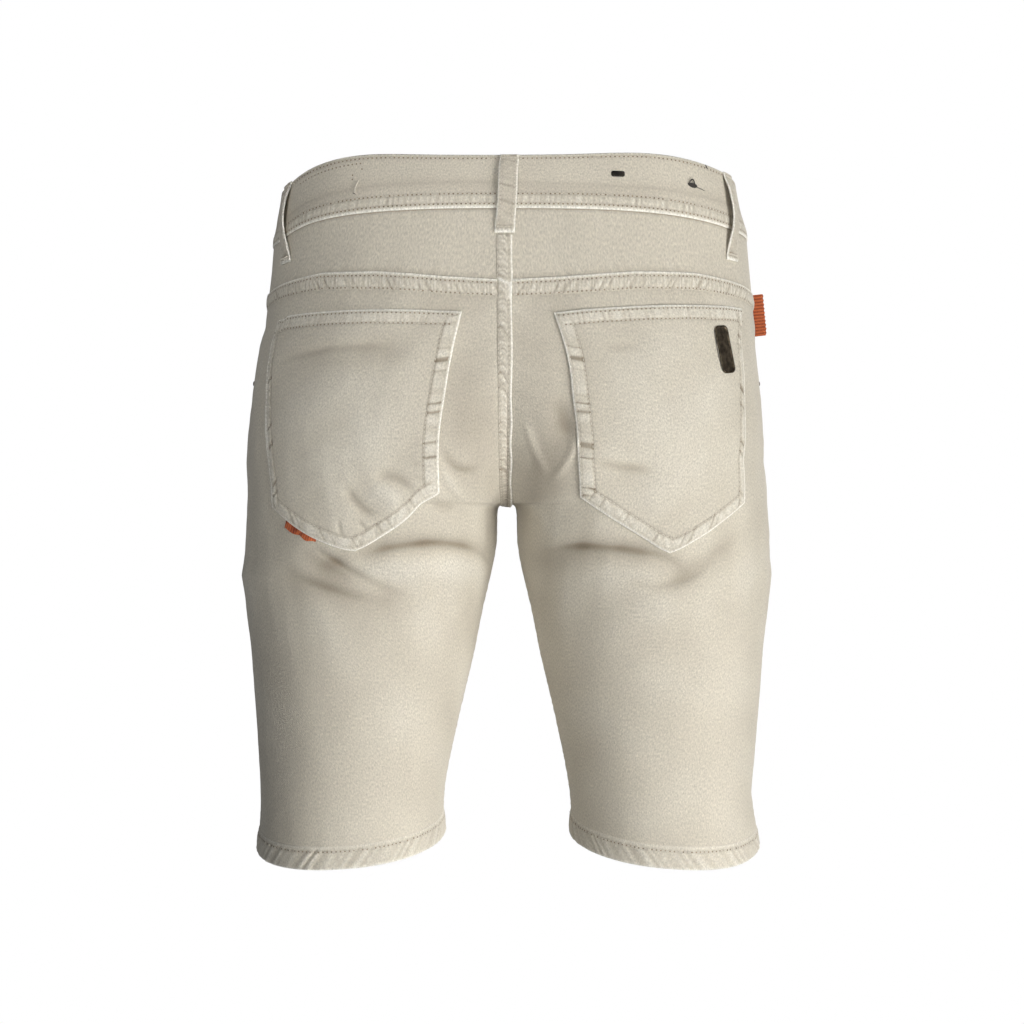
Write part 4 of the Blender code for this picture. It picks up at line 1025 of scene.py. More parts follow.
class PocketShape:
    """Outline of one pocket: its sides, mouth and point as functions, and distances from them."""

    def __init__(self, word):
        number = ("left", "right").index(word)
        self.word, self.side = word, POCKET_MOUTHS[number][0]
        self.mouth = dict(zip(POCKET_MOUTH_COLUMNS, POCKET_MOUTHS[number]))
        self.point = dict(zip(POCKET_POINT_COLUMNS, POCKET_POINTS[number]))

    def sides(self, down):
        """Distances of the inner and the outer side from the side seam, at a share of the way down."""
        at = smooth(POCKET_SIDE_COLUMNS, POCKET_SIDES, np.ravel(down))
        return (at[self.word + end].reshape(np.shape(down)) for end in ("_in", "_out"))

    def top(self, across):
        """Level of the mouth: a shallow curve through its two ends and its middle."""
        ends = self.mouth["in_z"] * (1 - across) + self.mouth["out_z"] * across
        bow = self.mouth["middle_z"] - (self.mouth["in_z"] + self.mouth["out_z"]) / 2
        folded_under = 1.6 * ease((across - 0.915) / 0.012) if self.side == 1 else 0.0
        return ends + 4 * bow * across * (1 - across) - folded_under

    def low(self, a):
        """Level of the lower edge: two nearly straight runs down to a softened point."""
        inner, outer = self.sides(np.array(1.0))
        at = [float(outer), self.point["tip_a"], float(inner)]
        z = np.interp(a, at, [self.point["out_z"], self.point["tip_z"], self.point["in_z"]])
        if self.side == 1:
            # The left one's lower edge has sagged out of line.
            t = np.interp(a, at, [0.0, 1.0, 2.0])
            sag = 4.2 * np.sin(np.pi * np.clip(t, 0, 1)) + 1.8 * np.sin(np.pi * np.clip(t - 1, 0, 1))
            z = z - sag + 2.6 * bell(t - 1.78, 0.12)
        return z + 1.3 * bell(a - self.point["tip_a"], 5.0)

    def distances(self, a, z):
        """Distances from the inner side, the outer side, the mouth and the lower edges."""
        down = np.clip((z - self.mouth["in_z"]) / (self.point["in_z"] - self.mouth["in_z"]), 0, 1)
        inner, outer = self.sides(down)
        across = np.clip((inner - a) / (inner - outer), 0, 1)
        return inner - a, a - outer, self.top(across) - z, (z - self.low(a)) * self.lean(a)

    def lean(self, a):
        """Cosine of the lower edge's slope, on both sides of the point."""
        return np.where(a > self.point["tip_a"], 0.83, 0.89)

    def relief(self, a, z):
        """Lift, and wear with painted shade: each turned edge is a low band, creased across between its
        stitch rows.

        Along every edge the band's pillow, sharp creases and dips are added, weighted by how near
        the edge is compared with the others; painted shade darkens the creases and the rows; the very edge
        rounds down and is faded, and a broad painted highlight lies on the pocket's middle.
        """
        from_in, from_out, from_top, from_low = self.distances(a, z)
        edge = np.minimum(np.minimum(from_in, from_out), np.minimum(from_top, from_low))
        lift = POCKET_LIFT - edge_drop(edge, 1.2, np.where(from_out <= edge + 0.01, 0.3, 0.75))
        wear_and_shade = 1.3 * bell(np.maximum(edge - 0.3, 0), 1.2)
        # A broad painted highlight on the pocket's middle.
        wear_and_shade = wear_and_shade + 0.16 * np.exp(-(((a - 150) / 52) ** 2 + ((z + 180) / 60) ** 2))
        key = 111 + 7 * self.side
        # Distance, place along it, reach, period, slant, depth and painted shade of each band's creases.
        bands = (
            (from_in, z, POCKET_BANDS[0], 7.6, 0.15, 0.60, 0.85, key),
            (from_out, z, POCKET_BANDS[1], 9.6, -0.9, 0.80, 1.10, key + 1),
            (from_low, a, POCKET_BANDS[2], 5.2, 0.5, 0.35, 0.55, key + 2),
            (from_top, a, POCKET_HEM, 3.7, 0.1, 0.12, 0.36, key + 3),
        )
        for distance, along, reach, period, slant, depth, dark, seed in bands:
            near = bell(distance - edge, 3.5)
            crease = creases(along + slant * distance, period, seed)
            band = ease((distance - 0.8) / 1.6) * ease((reach + 0.8 - distance) / 1.4)
            tail = 0.35 * np.exp(-np.maximum(distance - reach, 0) / 3.0) * ease((distance - reach + 1) / 2)
            patch = pinches(along - slant * distance, 1.7 * period, seed + 40) * band
            rows = bell(distance - POCKET_EDGE, 0.8)
            rows = rows + 1.9 * bell(distance - reach, 0.7)
            lift = lift + near * (0.35 * band - depth * crease * (band + tail) - 0.24 * rows)
            shade = dark * crease * (band + 0.6 * tail)
            wear_and_shade = wear_and_shade + near * (0.24 * band + 0.16 * patch - shade - 0.36 * rows)
        return lift, wear_and_shade


def pocket_piece(shape):
    """Grid of a pocket: rows from the mouth to the point, columns from the inner to the outer side."""
    inner_low, outer_low = shape.sides(np.array(1.0))
    middle = float((inner_low - shape.point["tip_a"]) / (inner_low - outer_low))
    across = marks(POCKET_SPAN, POCKET_STEP) / POCKET_SPAN
    across[np.argmin(np.abs(across - middle))] = middle
    down = marks(POCKET_SPAN, POCKET_STEP)[:, None] / POCKET_SPAN
    inner, outer = shape.sides(down)
    a = inner * (1 - across) + outer * across
    z = shape.top(across) * (1 - down) + shape.low(inner_low * (1 - across) + outer_low * across) * down
    lift, wear_and_shade = shape.relief(a, z)
    walls = [place(0, shape.side, a, z, value) for value in (lift, np.minimum(lift - CLOTH, POCKET_UNDER))]
    # Painted shade from the folds' valleys and the seat's shade patches.
    wear_and_shade = wear_and_shade + fold_wear_and_shade(0, shape.side, a, z)
    return cloth_piece("cloth_pocket_" + shape.word, *walls, (a * shape.side + 400, z), wear_and_shade, panel_denim)


def pocket_run(shape, inset, top_inset):
    """A stitch row at an inset from the sides and the point: down, round the point and up again."""
    z_side = np.linspace(0.0, 1.0, 400)
    inner, outer = shape.sides(z_side)
    places = []
    for a, end in ((inner - inset[0], "in_z"), (outer + inset[1], "out_z")):
        z = shape.mouth[end] - top_inset + (shape.point[end] - shape.mouth[end] + top_inset) * z_side
        keep = shape.distances(a, z)[3] >= inset[2]
        places.append((a[keep], z[keep]))
    a = np.linspace(float(inner[-1]), float(outer[-1]), 500)
    z = shape.low(a) + inset[2] / shape.lean(a)
    from_in, from_out = shape.distances(a, z)[:2]
    keep = (from_in >= inset[0]) & (from_out >= inset[1])
    return [np.concatenate([places[0][k], (a, z)[k][keep], places[1][k][::-1]]) for k in (0, 1)]


def pocket_rows(shape):
    """Stitch rows of a pocket: two round its edge, sunk in the cloth, and two across its mouth."""
    round_it = [pocket_run(shape, (POCKET_EDGE,) * 3, 1.0), pocket_run(shape, POCKET_BANDS, 1.0)]
    across = np.linspace(0.02, 0.98, 300)
    inner, outer = shape.sides(np.zeros(300))
    a = inner * (1 - across) + outer * across
    mouth = [(a, shape.top(across) - below) for below in (2.6, POCKET_HEM)]
    return ([(0, shape.side, a, z, shape.relief(a, z)[0]) for a, z in runs] for runs in (round_it, mouth))


for word in ("left", "right"):
    shape = PocketShape(word)
    pocket = pocket_piece(shape)
    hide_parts("back_pocket_" + word)
    round_it, mouth = pocket_rows(shape)
    thread = [
        sew("thread_pocket_" + word, round_it, shown=(True, False)),
        sew("thread_pocket_mouth_" + word, mouth),
    ]

# ---------------------------------------------------------------------------------------------
# Front panels and pocket facings: a front panel runs from the waistband to the hem, and its upper
# corner is cut away in a curve for the front pocket. The facing is the patch of denim that closes the
# pocket's mouth from behind. The mouth is turned under and sewn with two rows.
# ---------------------------------------------------------------------------------------------
FRONT_STEP = 1.9            # between the points of a front panel
FRONT_ACROSS, MOUTH_ACROSS = 220.0, 90.0    # its width inside and beside the mouth, by which they are spaced
MOUTH_REACH = 62.0          # from the side seam to the mouth's end at the waistband
MOUTH_LOW = -135.0          # the level where the mouth meets the side seam
MOUTH_GAPE = 1.8            # how far the mouth's edge stands off
MOUTH_ROWS = (2.2, 8.4)     # from the mouth's edge to its two rows
FACING_BEYOND = 14.0        # the facing runs on under the panel by this
FACING_DOWN = 80.0          # its height, by which its points are spaced


def mouth(a):
    """Level of the pocket's mouth at a distance a from the side seam: a curve flat at the side."""
    t = np.clip(a / MOUTH_REACH, 0, 1)
    return BAND_LOW + (MOUTH_LOW - BAND_LOW) * (1 - t**1.5) ** (1 / 1.25)


def mouth_slope(a, nearest):
    """Rise of the mouth over a millimetre round a, which is kept off both ends of the curve."""
    a = np.clip(a, nearest, MOUTH_REACH - 1)
    return mouth(a + 0.5) - mouth(a - 0.5)


def from_mouth(a, z):
    """Roughly how far below and inside the mouth's line a place is: the level drop over its slope."""
    return (mouth(a) - z) / np.sqrt(1 + mouth_slope(a, 0.5) ** 2) + np.maximum(a - MOUTH_REACH, 0)


def front_relief(side, a, z):
    """Lift and wear of a front panel: seam puckers, and the turned and gaping edge of the mouth, with painted
    shade.
    """
    inside = width(1, z) - a
    lift = -edge_drop(a, 1.6, 0.9) - edge_drop(inside, 1.6, 0.9)
    lift = lift + seam_puckers(a, z, 131 + side, 6.0, 0.30, 9.0)
    lift = lift + seam_puckers(inside, z + 0.5 * inside, 141 + side, 9.0, 0.30, 8.5)
    edge = from_mouth(a, z)
    by_mouth = ease((MOUTH_REACH + 6 - a) / 10)
    crest = pinches(z - 0.6 * edge, 9.5, 151 + side)
    band = by_mouth * ease((edge + 0.5) / 1.5) * ease((MOUTH_ROWS[1] + 2.4 - edge) / 3.0)
    rows = bell(edge - MOUTH_ROWS[0], 0.8) + bell(edge - MOUTH_ROWS[1], 0.8)
    reach = np.clip(a / MOUTH_REACH, 0, 1)
    gape = MOUTH_GAPE * np.sin(np.pi * reach) ** 2 * bell(edge, 14)
    lift = lift + gape + 0.30 * band
    lift = lift + by_mouth * (0.30 * crest * band - 0.2 * rows - edge_drop(edge, 1.1, 0.6))
    # Painted shade: the colour follows the folds and the mouth's puckers, and the rows are darker; the
    # mouth's edge is faded.
    wear_and_shade = 0.10 * fold_lift(1, side, a, z) + 0.08 * band + by_mouth * (0.2 * crest * band - 0.3 * rows)
    return lift, wear_and_shade + 0.8 * by_mouth * bell(np.maximum(edge, 0), 0.9)


def front_panel(word, side):
    """Grid of a front panel: its top follows the waistband, then the mouth down to the side seam."""
    bend = 1 - MOUTH_REACH / width(1, BAND_LOW)
    inner = marks(FRONT_ACROSS, FRONT_STEP)
    outer = marks(MOUTH_ACROSS, 1.4)
    shares = np.concatenate([inner / FRONT_ACROSS * bend, bend + (1 - bend) * outer[1:] / MOUTH_ACROSS])
    top = mouth((1 - shares) * width(1, BAND_LOW)) + TUCK * (shares < bend)
    z = panel_levels(1, top, shares, FRONT_STEP)
    a = distances(1, z, shares)
    lift, wear_and_shade = front_relief(side, a, z)
    walls = [keep_half(place(1, side, a, z, value), side) for value in (lift, lift - CLOTH)]
    return cloth_piece("cloth_front_" + word, *walls, (a * side + 900, z), wear_and_shade, panel_denim)


def pocket_facing(word, side):
    """Grid of a facing: the mouth's curve, carried on below and beyond it."""
    reach = MOUTH_REACH + FACING_BEYOND
    a = marks(reach, 2.0)[::-1]
    low = BAND_LOW - 16 + (MOUTH_LOW - BAND_LOW) * (1 - (a / reach) ** 1.5) ** (1 / 1.25)
    down = marks(FACING_DOWN, 2.2)[:, None] / FACING_DOWN
    z = (BAND_LOW + TUCK) * (1 - down) + low * down
    a = a * np.ones_like(z)
    lift = -CLOTH - 0.5 + 0.15 * ripple(a, z, 22.0, 161)
    walls = [place(1, side, a, z, value) for value in (lift, lift - 1.1)]
    wear_and_shade = -0.10 + 0.06 * ripple(a, z, 12.0, 162)
    return cloth_piece("facing_" + word, *walls, (a * side + 1300, z), wear_and_shade, panel_denim)


def mouth_rows(side):
    """Both rows round the mouth, each at its distance from the edge, from the waistband down."""
    rows = []
    a = 0.8 + (MOUTH_REACH - 0.8) * (1 - np.linspace(0, 1, 400))
    slope = mouth_slope(a, 1.0)
    size = np.sqrt(1 + slope**2)
    for inset in MOUTH_ROWS:
        a_row, z_row = a + inset * slope / size, mouth(a) - inset / size
        keep = (a_row > 0.6) & (z_row < BAND_LOW - 1.5)
        a_row, z_row = a_row[keep], z_row[keep]
        rows.append((1, side, a_row, z_row, front_relief(side, a_row, z_row)[0]))
    return rows


for word, side in HALVES:
    front = front_panel(word, side)
    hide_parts("front_" + word)
    facing = pocket_facing(word, side)
    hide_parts("pocket_facing_" + word)
    thread = sew("thread_mouth_" + word, mouth_rows(side))

# ---------------------------------------------------------------------------------------------
# Hems: the ends of the legs are turned up twice and sewn with one row near the upper fold. The turned
# layers twist against each other in the wash, which ropes the hem into slanting ridges.
# ---------------------------------------------------------------------------------------------
HEM_HEIGHT = 18.0
HEM_ROUND = 460.0           # the length round a hem
HEM_ROW = 4.6               # from the hem's upper end to its stitches


def hem_relief(w, s, key):
    """Lift, and wear with painted shade, of a hem at w from its top and s round it: ropes that slant and grow
    downwards.
    """
    rope = pinches(s - 0.75 * w, 8.6, key)
    fine = pinches(s + 0.4 * w, 4.1, key + 1)
    body = ease((w - 2.0) / 3.0)
    row = bell(w - HEM_ROW, 0.9)
    lift = -0.35 * (1 - ease(w / 0.9)) + 0.55 * ease(w / 3.4) + 0.35 * body
    lift = lift + (0.42 * rope * body + 0.10 * fine * ease(w / 3)) * ease((HEM_HEIGHT + 4 - w) / 6)
    lift = lift - 0.35 * row - edge_drop(HEM_HEIGHT - w, 1.5, 0.95)
    # Painted shade: the colour follows the ropes and is darker along the stitch row; the lower fold is faded.
    wear_and_shade = 0.10 + 0.26 * rope * body + 0.10 * fine - 0.38 * row
    wear_and_shade = wear_and_shade + 0.65 * bell(HEM_HEIGHT - w, 1.3) + 0.25 * bell(w - 1.6, 1.0)
    return lift, wear_and_shade * ease(w / 1.5)


def hem_places(w, share):
    """Faces and places of a hem at w from its top, at shares of the way round from the inseam."""
    z = HEM_TOP + 0.5 - w
    behind = share < 0.5
    a = np.where(behind, width(0, z) * (1 - 2 * share), width(1, z) * (2 * share - 1))
    return np.where(behind, 0, 1), a, z * np.ones_like(a)


for word, side in HALVES:
    w = marks(HEM_HEIGHT, 0.95)[:, None]
    share = np.linspace(0, 1, 361)[:-1]
    face, a, z = hem_places(w, share)
    lift, wear_and_shade = hem_relief(w, share * HEM_ROUND, 171 + side)
    outer, inner = (place(face, side, a, z, value) for value in (lift, np.minimum(lift - 1.6, -1.8)))
    pattern = (share * HEM_ROUND, z)
    hem = cloth_piece("cloth_hem_" + word, outer, inner, pattern, wear_and_shade, panel_denim, closed=True)
    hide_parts("hem_" + word)
    spots = np.linspace(0.0015, 0.9985, 900)
    face, a, z = hem_places(HEM_ROW, spots)
    lift = hem_relief(HEM_ROW, spots * HEM_ROUND, 171 + side)[0]
    thread = sew("thread_hem_" + word, [(face, side, a, z, lift)])

# ---------------------------------------------------------------------------------------------
# Waistband: one long strip of denim folded double, sewn on with two rows at its foot and one under
# its top edge. At the front its left end laps over the right one and has a buttonhole. Behind, on the
# right, it has a nick with a curl of dark thread, and on the left the needle holes of a patch that was
# taken off and a pinched spot.
# ---------------------------------------------------------------------------------------------
BAND_HEIGHT = 43.0
BAND_LAP = 16.0             # how far both ends run past the middle of the front
BAND_STEP = -3.4            # how far the lower end sits inside the upper one
BAND_OUT, BAND_IN = 1.0, -1.9   # both its sides off the panels' surface
BAND_ROWS = (3.0, 33.4, 40.4)   # below the top edge
BAND_END_ROW = 2.2          # from its ends, where the rows start and a short one runs down
FRONT_WIDTH, BACK_WIDTH = float(width(1, 0.0)), float(width(0, 0.0))
BAND_LENGTH = 2 * (FRONT_WIDTH + BACK_WIDTH) + 2 * BAND_LAP
OLD_MARKS = BAND_LAP + FRONT_WIDTH   # the left side seam, from which they are measured


def band_relief(w, t):
    """Lift, and wear with painted shade, of the waistband at w below its top and t along it.

    The strip between the foot's two rows is a low roll with short upright puckers and thin lines of painted
    shade, the foot is a worn fold, the top edge rolls over, and a slack crease with a thin line of painted
    shade in it runs along the middle. The rows are darkened as painted shade.
    """
    key = 181
    low, foot = BAND_ROWS[1], BAND_ROWS[2]
    ticks = pinches(t + 0.15 * w, 4.6, key)
    roll = np.sin(np.pi * np.clip((w - low) / (foot - low), 0, 1))
    rows = sum(bell(w - row, 0.8) for row in BAND_ROWS)
    crease = bell(w - 26 - 2.5 * np.sin(t / 37), 5.0)
    lift = BAND_OUT + roll * (0.30 + 0.20 * ticks) - 0.2 * rows - 0.30 * crease
    lift = lift + 0.16 * pinches(t - 0.3 * w, 9.0, key + 1) * bell(w - low + 3, 5.0)
    lift = lift + 0.12 * pinches(t, 5.5, key + 2) * bell(w - 3.0, 3.0)
    lift = lift - edge_drop(w, 1.6, 1.1) - edge_drop(BAND_HEIGHT - w, 1.3, 0.75)
    # Painted shade in the rows, in the roll's thin upright lines and along the slack crease; the foot and top
    # edge are faded.
    wear_and_shade = roll * (0.16 + 0.36 * ticks) - 0.45 * rows - 0.14 * crease + 0.45 * bell(w, 1.2)
    wear_and_shade = wear_and_shade - 0.42 * ladder(t, 3.7, key) * roll
    wear_and_shade = wear_and_shade - 0.13 * bell(w - 25 - 1.5 * np.sin(t / 41), 1.1)
    return lift, wear_and_shade + 1.05 * bell(BAND_HEIGHT - w, 1.5)


def band_places(w, t):
    """Faces, halves, places and inward steps of the waistband at w below its top and t along it.

    t runs from the upper end over the left front, the back and the right front to the lower end,
    which steps inwards before it passes under.
    """
    u = t - BAND_LAP
    full, half = FRONT_WIDTH, BACK_WIDTH
    stops = np.array([0.0, full, full + half, full + 2 * half, 2 * (full + half)])
    part = np.searchsorted(stops, u)
    face = np.where((part == 2) | (part == 3), 0, 1)
    side = np.select([part == 0, part <= 2, part <= 4], [-1, 1, -1], 1)
    shares = [
        -u / full,
        u / full,
        1 - (u - full) / half,
        (u - full - half) / half,
        1 - (u - full - 2 * half) / full,
    ]
    share = np.select([part == number for number in range(5)], shares, (u - 2 * (full + half)) / full)
    step = BAND_STEP * ease((u - 2 * (full + half) + 40) / 22)
    z = -w
    whole = np.where(face == 1, width(1, z), width(0, z))
    return face, side, whole * (1 - share), z * np.ones_like(share), step


w = marks(BAND_HEIGHT, 1.25)[:, None]
t = marks(BAND_LENGTH, 1.3)
face, side, a, z, step = band_places(w, t)
lift, wear_and_shade = band_relief(w, t)
ends = edge_drop(t, 1.6, 0.9) + edge_drop(BAND_LENGTH - t, 1.6, 0.9)
outer = place(face, side, a, z, lift - ends + step)
inner = place(face, side, a, z, BAND_IN + 0.7 * edge_drop(w, 1.6, 1.1) + ends + step)
wear_and_shade = wear_and_shade + 0.4 * bell(t, 1.5)
band = cloth_piece("waistband_cloth", outer, inner, (t, z + 600), wear_and_shade, panel_denim)
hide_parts("waistband")


def band_row(w, t):
    """A stitch row on the waistband at w below its top, over the stretch t."""
    face, side, a, z, step = band_places(w, t)
    return face, side, a, z, band_relief(w, t)[0] + step


# Three rows run along it, and a short one across its upper end.
along = np.linspace(BAND_END_ROW, BAND_LENGTH - BAND_END_ROW, 2400)
down = np.linspace(BAND_ROWS[0], BAND_ROWS[2], 60)
rows = [band_row(w + 0 * along, along) for w in BAND_ROWS]
rows.append(band_row(down, BAND_END_ROW + 0 * down))
thread = sew("thread_waistband", rows)
old_holes = [
    band_row(np.linspace(7.6, 6.4, 30), OLD_MARKS + np.linspace(71.0, 128.0, 30)),
    band_row(np.linspace(7.2, 11.0, 30), OLD_MARKS + np.linspace(128.5, 129.5, 30)),
    band_row(np.linspace(11.5, 18.0, 30), OLD_MARKS + 122.5 + 0 * along[:30]),
]
holes = sew("holes_waistband", old_holes, shown=(False, True))


def cord(path, radius, sides=6):
    """A thin round cord along a path of points: a ring across it at each, and both ends closed."""
    along_it = unit(np.gradient(path, axis=0))
    across = unit(np.cross(along_it, (0.3, 0.2, 0.93)))
    up = np.cross(along_it, across)
    turn = (np.arange(sides) * 2 * np.pi / sides)[:, None]
    thick = radius * np.sin(np.pi * np.linspace(0.12, 0.88, len(path))) ** 0.4
    ring_of = np.cos(turn) * across[:, None] + np.sin(turn) * up[:, None]
    index = np.arange(len(path) * sides).reshape(-1, sides)
    faces = quads(index, True).tolist() + [index[0].tolist(), index[-1, ::-1].tolist()]
    return (path[:, None] + ring_of * thick[:, None, None]).reshape(-1, 3), faces


def band_points(a, w, lift):
    """Points on the right back of the waistband at distances a from the side seam, w below its top."""
    return place(0, -1, np.array(a), -np.array(w), BAND_OUT + np.array(lift))


# The nick is an uneven dark patch, painted shade of the opening; its thread stands up in a curl and trails
# off to one side. The other marks are a snag in the top edge and the pinched spot: a small raised ridge whose
# lighter colour is a painted highlight, and a thin dark cord of painted shade for the crease at its lower
# end.
turn = np.linspace(0, 2 * np.pi, 18)[:-1]
nick_a = 100.6 + 4.2 * np.cos(turn) * (1 + 0.2 * np.sin(turn))
nick = band_points(nick_a, 19.3 - 1.9 * np.sin(turn), 0.35 + 0 * turn)
bend = np.linspace(0, 1, 14)
arch = np.sin(np.pi * bend)
curl = band_points(103.6 - 5.2 * bend, 18.3 - 3.6 * arch + 1.2 * bend, 0.3 + 1.8 * arch)
trail = band_points(97.6 - 7.6 * bend, 20.0 + 1.3 * bend, 0.5 + 0.3 * arch)
snag = band_points(84.6 - 1.0 * bend, 0.5 + 2.6 * bend, 0.2 - 0.5 * (1 - bend) ** 2)
crease_shade_cord = place(0, 1, 126.5 + 2.2 * bend, -28.6 - 1.4 * bend, BAND_OUT + 0.1 + 0 * bend)
pinch = place(0, 1, 129.4 - 1.6 * np.sin(2.2 * bend), -19.5 - 9.2 * bend, BAND_OUT + 0.25 + 0 * bend)
points, faces, kinds = [nick], [list(range(len(nick)))[::-1]], [0]
for line, radius, kind in (
    (curl, 0.50, 0), (trail, 0.24, 0), (snag, 0.40, 0), (crease_shade_cord, 0.28, 0), (pinch, 0.60, 1),
):
    tube, tube_faces = cord(line, radius)
    start = sum(len(block) for block in points)
    points.append(tube)
    faces += [[start + corner for corner in one] for one in tube_faces]
    kinds += [kind] * len(tube_faces)
# The dark thread's finish also colours the nick and the crease cord as painted shade.
dark_thread_and_shade = thread_finish("dark thread and painted shade", (0.035, 0.030, 0.026))
mesh = new_mesh("marks_waistband", np.concatenate(points), faces, dark_thread_and_shade, sewing_thread)
mesh.polygons.foreach_set("material_index", kinds)
mesh.shade_smooth()
dark_marks = add_piece(mesh)

# The buttonhole lies along the lapped end: a slit of painted shade with a round eye, edged with close
# stitches.
hole_t = BAND_LAP + np.linspace(-3.0, 17.0, 40)
edge_w = 0.9 + 1.3 * bell(hole_t - hole_t[0] - 2.0, 1.9)
around = [band_row(BAND_HEIGHT / 2 + side * edge_w, hole_t) for side in (-1, 1)]
buttonhole = sew("thread_buttonhole", around, spacing=0.55, radius=0.34, shown=(True, False))
slit = [on_cloth(*band_row(BAND_HEIGHT / 2 + side * (edge_w - 0.3), hole_t))[0] for side in (-1, 1)]
rim = np.concatenate([slit[0], slit[1][::-1]])
dark_slit = add_piece(new_mesh("slit_buttonhole", rim, [list(range(len(rim)))], needle_hole))

# ---------------------------------------------------------------------------------------------
# Belt loops: five strips of folded denim, each with a row of stitches near both edges. They are tacked
# flat on the waistband's top edge, stand off for the belt, and are tacked again under the waistband.
# ---------------------------------------------------------------------------------------------
LOOP_WIDTH, LOOP_WALL = 14.0, 1.5
LOOP_LENGTH = 64.0
LOOP_ROW = 2.3              # from both edges to their rows
LOOP_BEND, LOOP_LOW = -36.0, -62.5
# The loop from its upper end down: level, and lift of its inner side off the panels.
LOOP_PATH = ((-0.2, 1.2), (-4.5, 1.25), (-8.0, 2.3), (-13.0, 3.2), (-24.0, 3.4), (LOOP_BEND, 2.9),
             (-45.0, 2.2), (-51.0, 1.2), (-56.0, 0.6), (LOOP_LOW, 0.35))
# Each loop's half (0 for the middle of the back), its face, where its upper and its lower end are from
# the side seam, or from that middle, the level of the lower end, and how far it bows sideways. Two are
# twisted: tilt is how far they stand off more towards the middle of the back, for each millimetre.
LOOP_COLUMNS = ("word", "side", "face", "top", "foot", "low", "turn", "tilt")
LOOPS = (
    ("back", 0, 0, -1.6, 1.4, -55.5, 0.6, 0.0),
    ("back_left", 1, 0, 54.0, 64.0, -62.5, 2.4, 0.30),
    ("back_right", -1, 0, 57.0, 67.0, -62.5, 2.4, 0.30),
    ("front_left", 1, 1, 104.0, 104.0, -62.5, 0.5, 0.0),
    ("front_right", -1, 1, 104.0, 104.0, -62.5, 0.5, 0.0),
)
TACK_WIDTH, TACK_HEIGHT = 11.5, 1.7
TACK_STEP = 0.46            # between the stitches of a bar tack


def from_middle(face, c, z):
    """Half and distance from the side seam of a place c past the middle, towards the left half."""
    return np.where(c >= 0, 1, -1), width(face, z) - np.abs(c)


def loop_line(loop, share):
    """Level, lift and sideways place of a loop's middle, at shares of the way down its cloth."""
    level, lift = np.array(LOOP_PATH).T
    shorter = (loop["low"] - LOOP_BEND) / (LOOP_LOW - LOOP_BEND)
    level = np.where(level < LOOP_BEND, LOOP_BEND + (level - LOOP_BEND) * shorter, level)
    run = np.append(0, np.cumsum(np.hypot(np.diff(level), np.diff(lift))))
    fine = np.linspace(0, 1, 300)
    soften = np.ones(17) / 17
    smoothed = []
    for values in (level, lift):
        values = np.interp(fine * run[-1], run, values)
        ends = [2 * values[0] - values[8:0:-1], values, 2 * values[-1] - values[-2:-10:-1]]
        smoothed.append(np.interp(share, fine, np.convolve(np.concatenate(ends), soften, "valid")))
    sway = loop["turn"] * np.sin(np.pi * share) ** 2
    return smoothed[0], smoothed[1], loop["top"] * (1 - share) + loop["foot"] * share - sway


def loop_places(loop, share, across):
    """Faces, halves, places and lifts of a loop's inner side at shares down it and across from its middle."""
    z, lift, middle = loop_line(loop, share)
    flare = 1 + 0.05 * ease((share - 0.86) / 0.1) - 0.05 * ease((0.1 - share) / 0.1)
    c = middle + across * flare + 0.25 * np.sin(9 * share + loop["top"]) + 0 * z
    if loop["side"] == 0:
        side, a = from_middle(loop["face"], c, z)
    else:
        side, a = loop["side"] * np.ones_like(c), c
    lift = lift + loop["tilt"] * across * np.sin(np.pi * np.clip(share * 1.08 - 0.04, 0, 1)) ** 0.8
    return loop["face"], side, a, z + 0 * c, lift + 0 * c


def loop_relief(loop, share, across):
    """Lift, and wear with painted shade, of a loop's outer side: rolled bright edges, two rows, a soft middle
    and both tacks.
    """
    edge = LOOP_WIDTH / 2 - np.abs(across)
    s = share * LOOP_LENGTH
    from_low = LOOP_LENGTH - s
    key = 191 + int(loop["foot"])
    row = bell(edge - LOOP_ROW, 0.8)
    tack = bell(s - 2.9, 0.9) + bell(from_low - 3.4, 0.9)
    soft = 0.16 * pinches(s + 0.5 * across, 5.6, key) + 0.12 * pinches(s - across, 12.0, 192)
    lift = LOOP_WALL + 0.20 * ease(edge / 3) - 0.14 * row + soft * ease(edge / 2.5)
    lift = lift - edge_drop(edge, 1.1, 0.75) - edge_drop(s, 1.1, 0.7) - edge_drop(from_low, 1.3, 0.8)
    lift = lift - 0.35 * tack * ease(edge / 1.5)
    # Painted shade darkens the rows, the tacks and the creases, and the colour follows the soft middle; the
    # edges are faded.
    wear_and_shade = bell(edge, 1.0) - 0.16 * row - 0.55 * tack * ease(edge / 1.5)
    wear_and_shade = wear_and_shade - 0.35 * creases(s + 0.3 * across, 9.0, key + 2) * ease(edge / 2.5)
    wear_and_shade = wear_and_shade + 1.1 * bell(from_low, 1.6) + 0.35 * bell(s, 0.9)
    wear_and_shade = wear_and_shade + 0.5 * soft - 0.06
    return lift, wear_and_shade


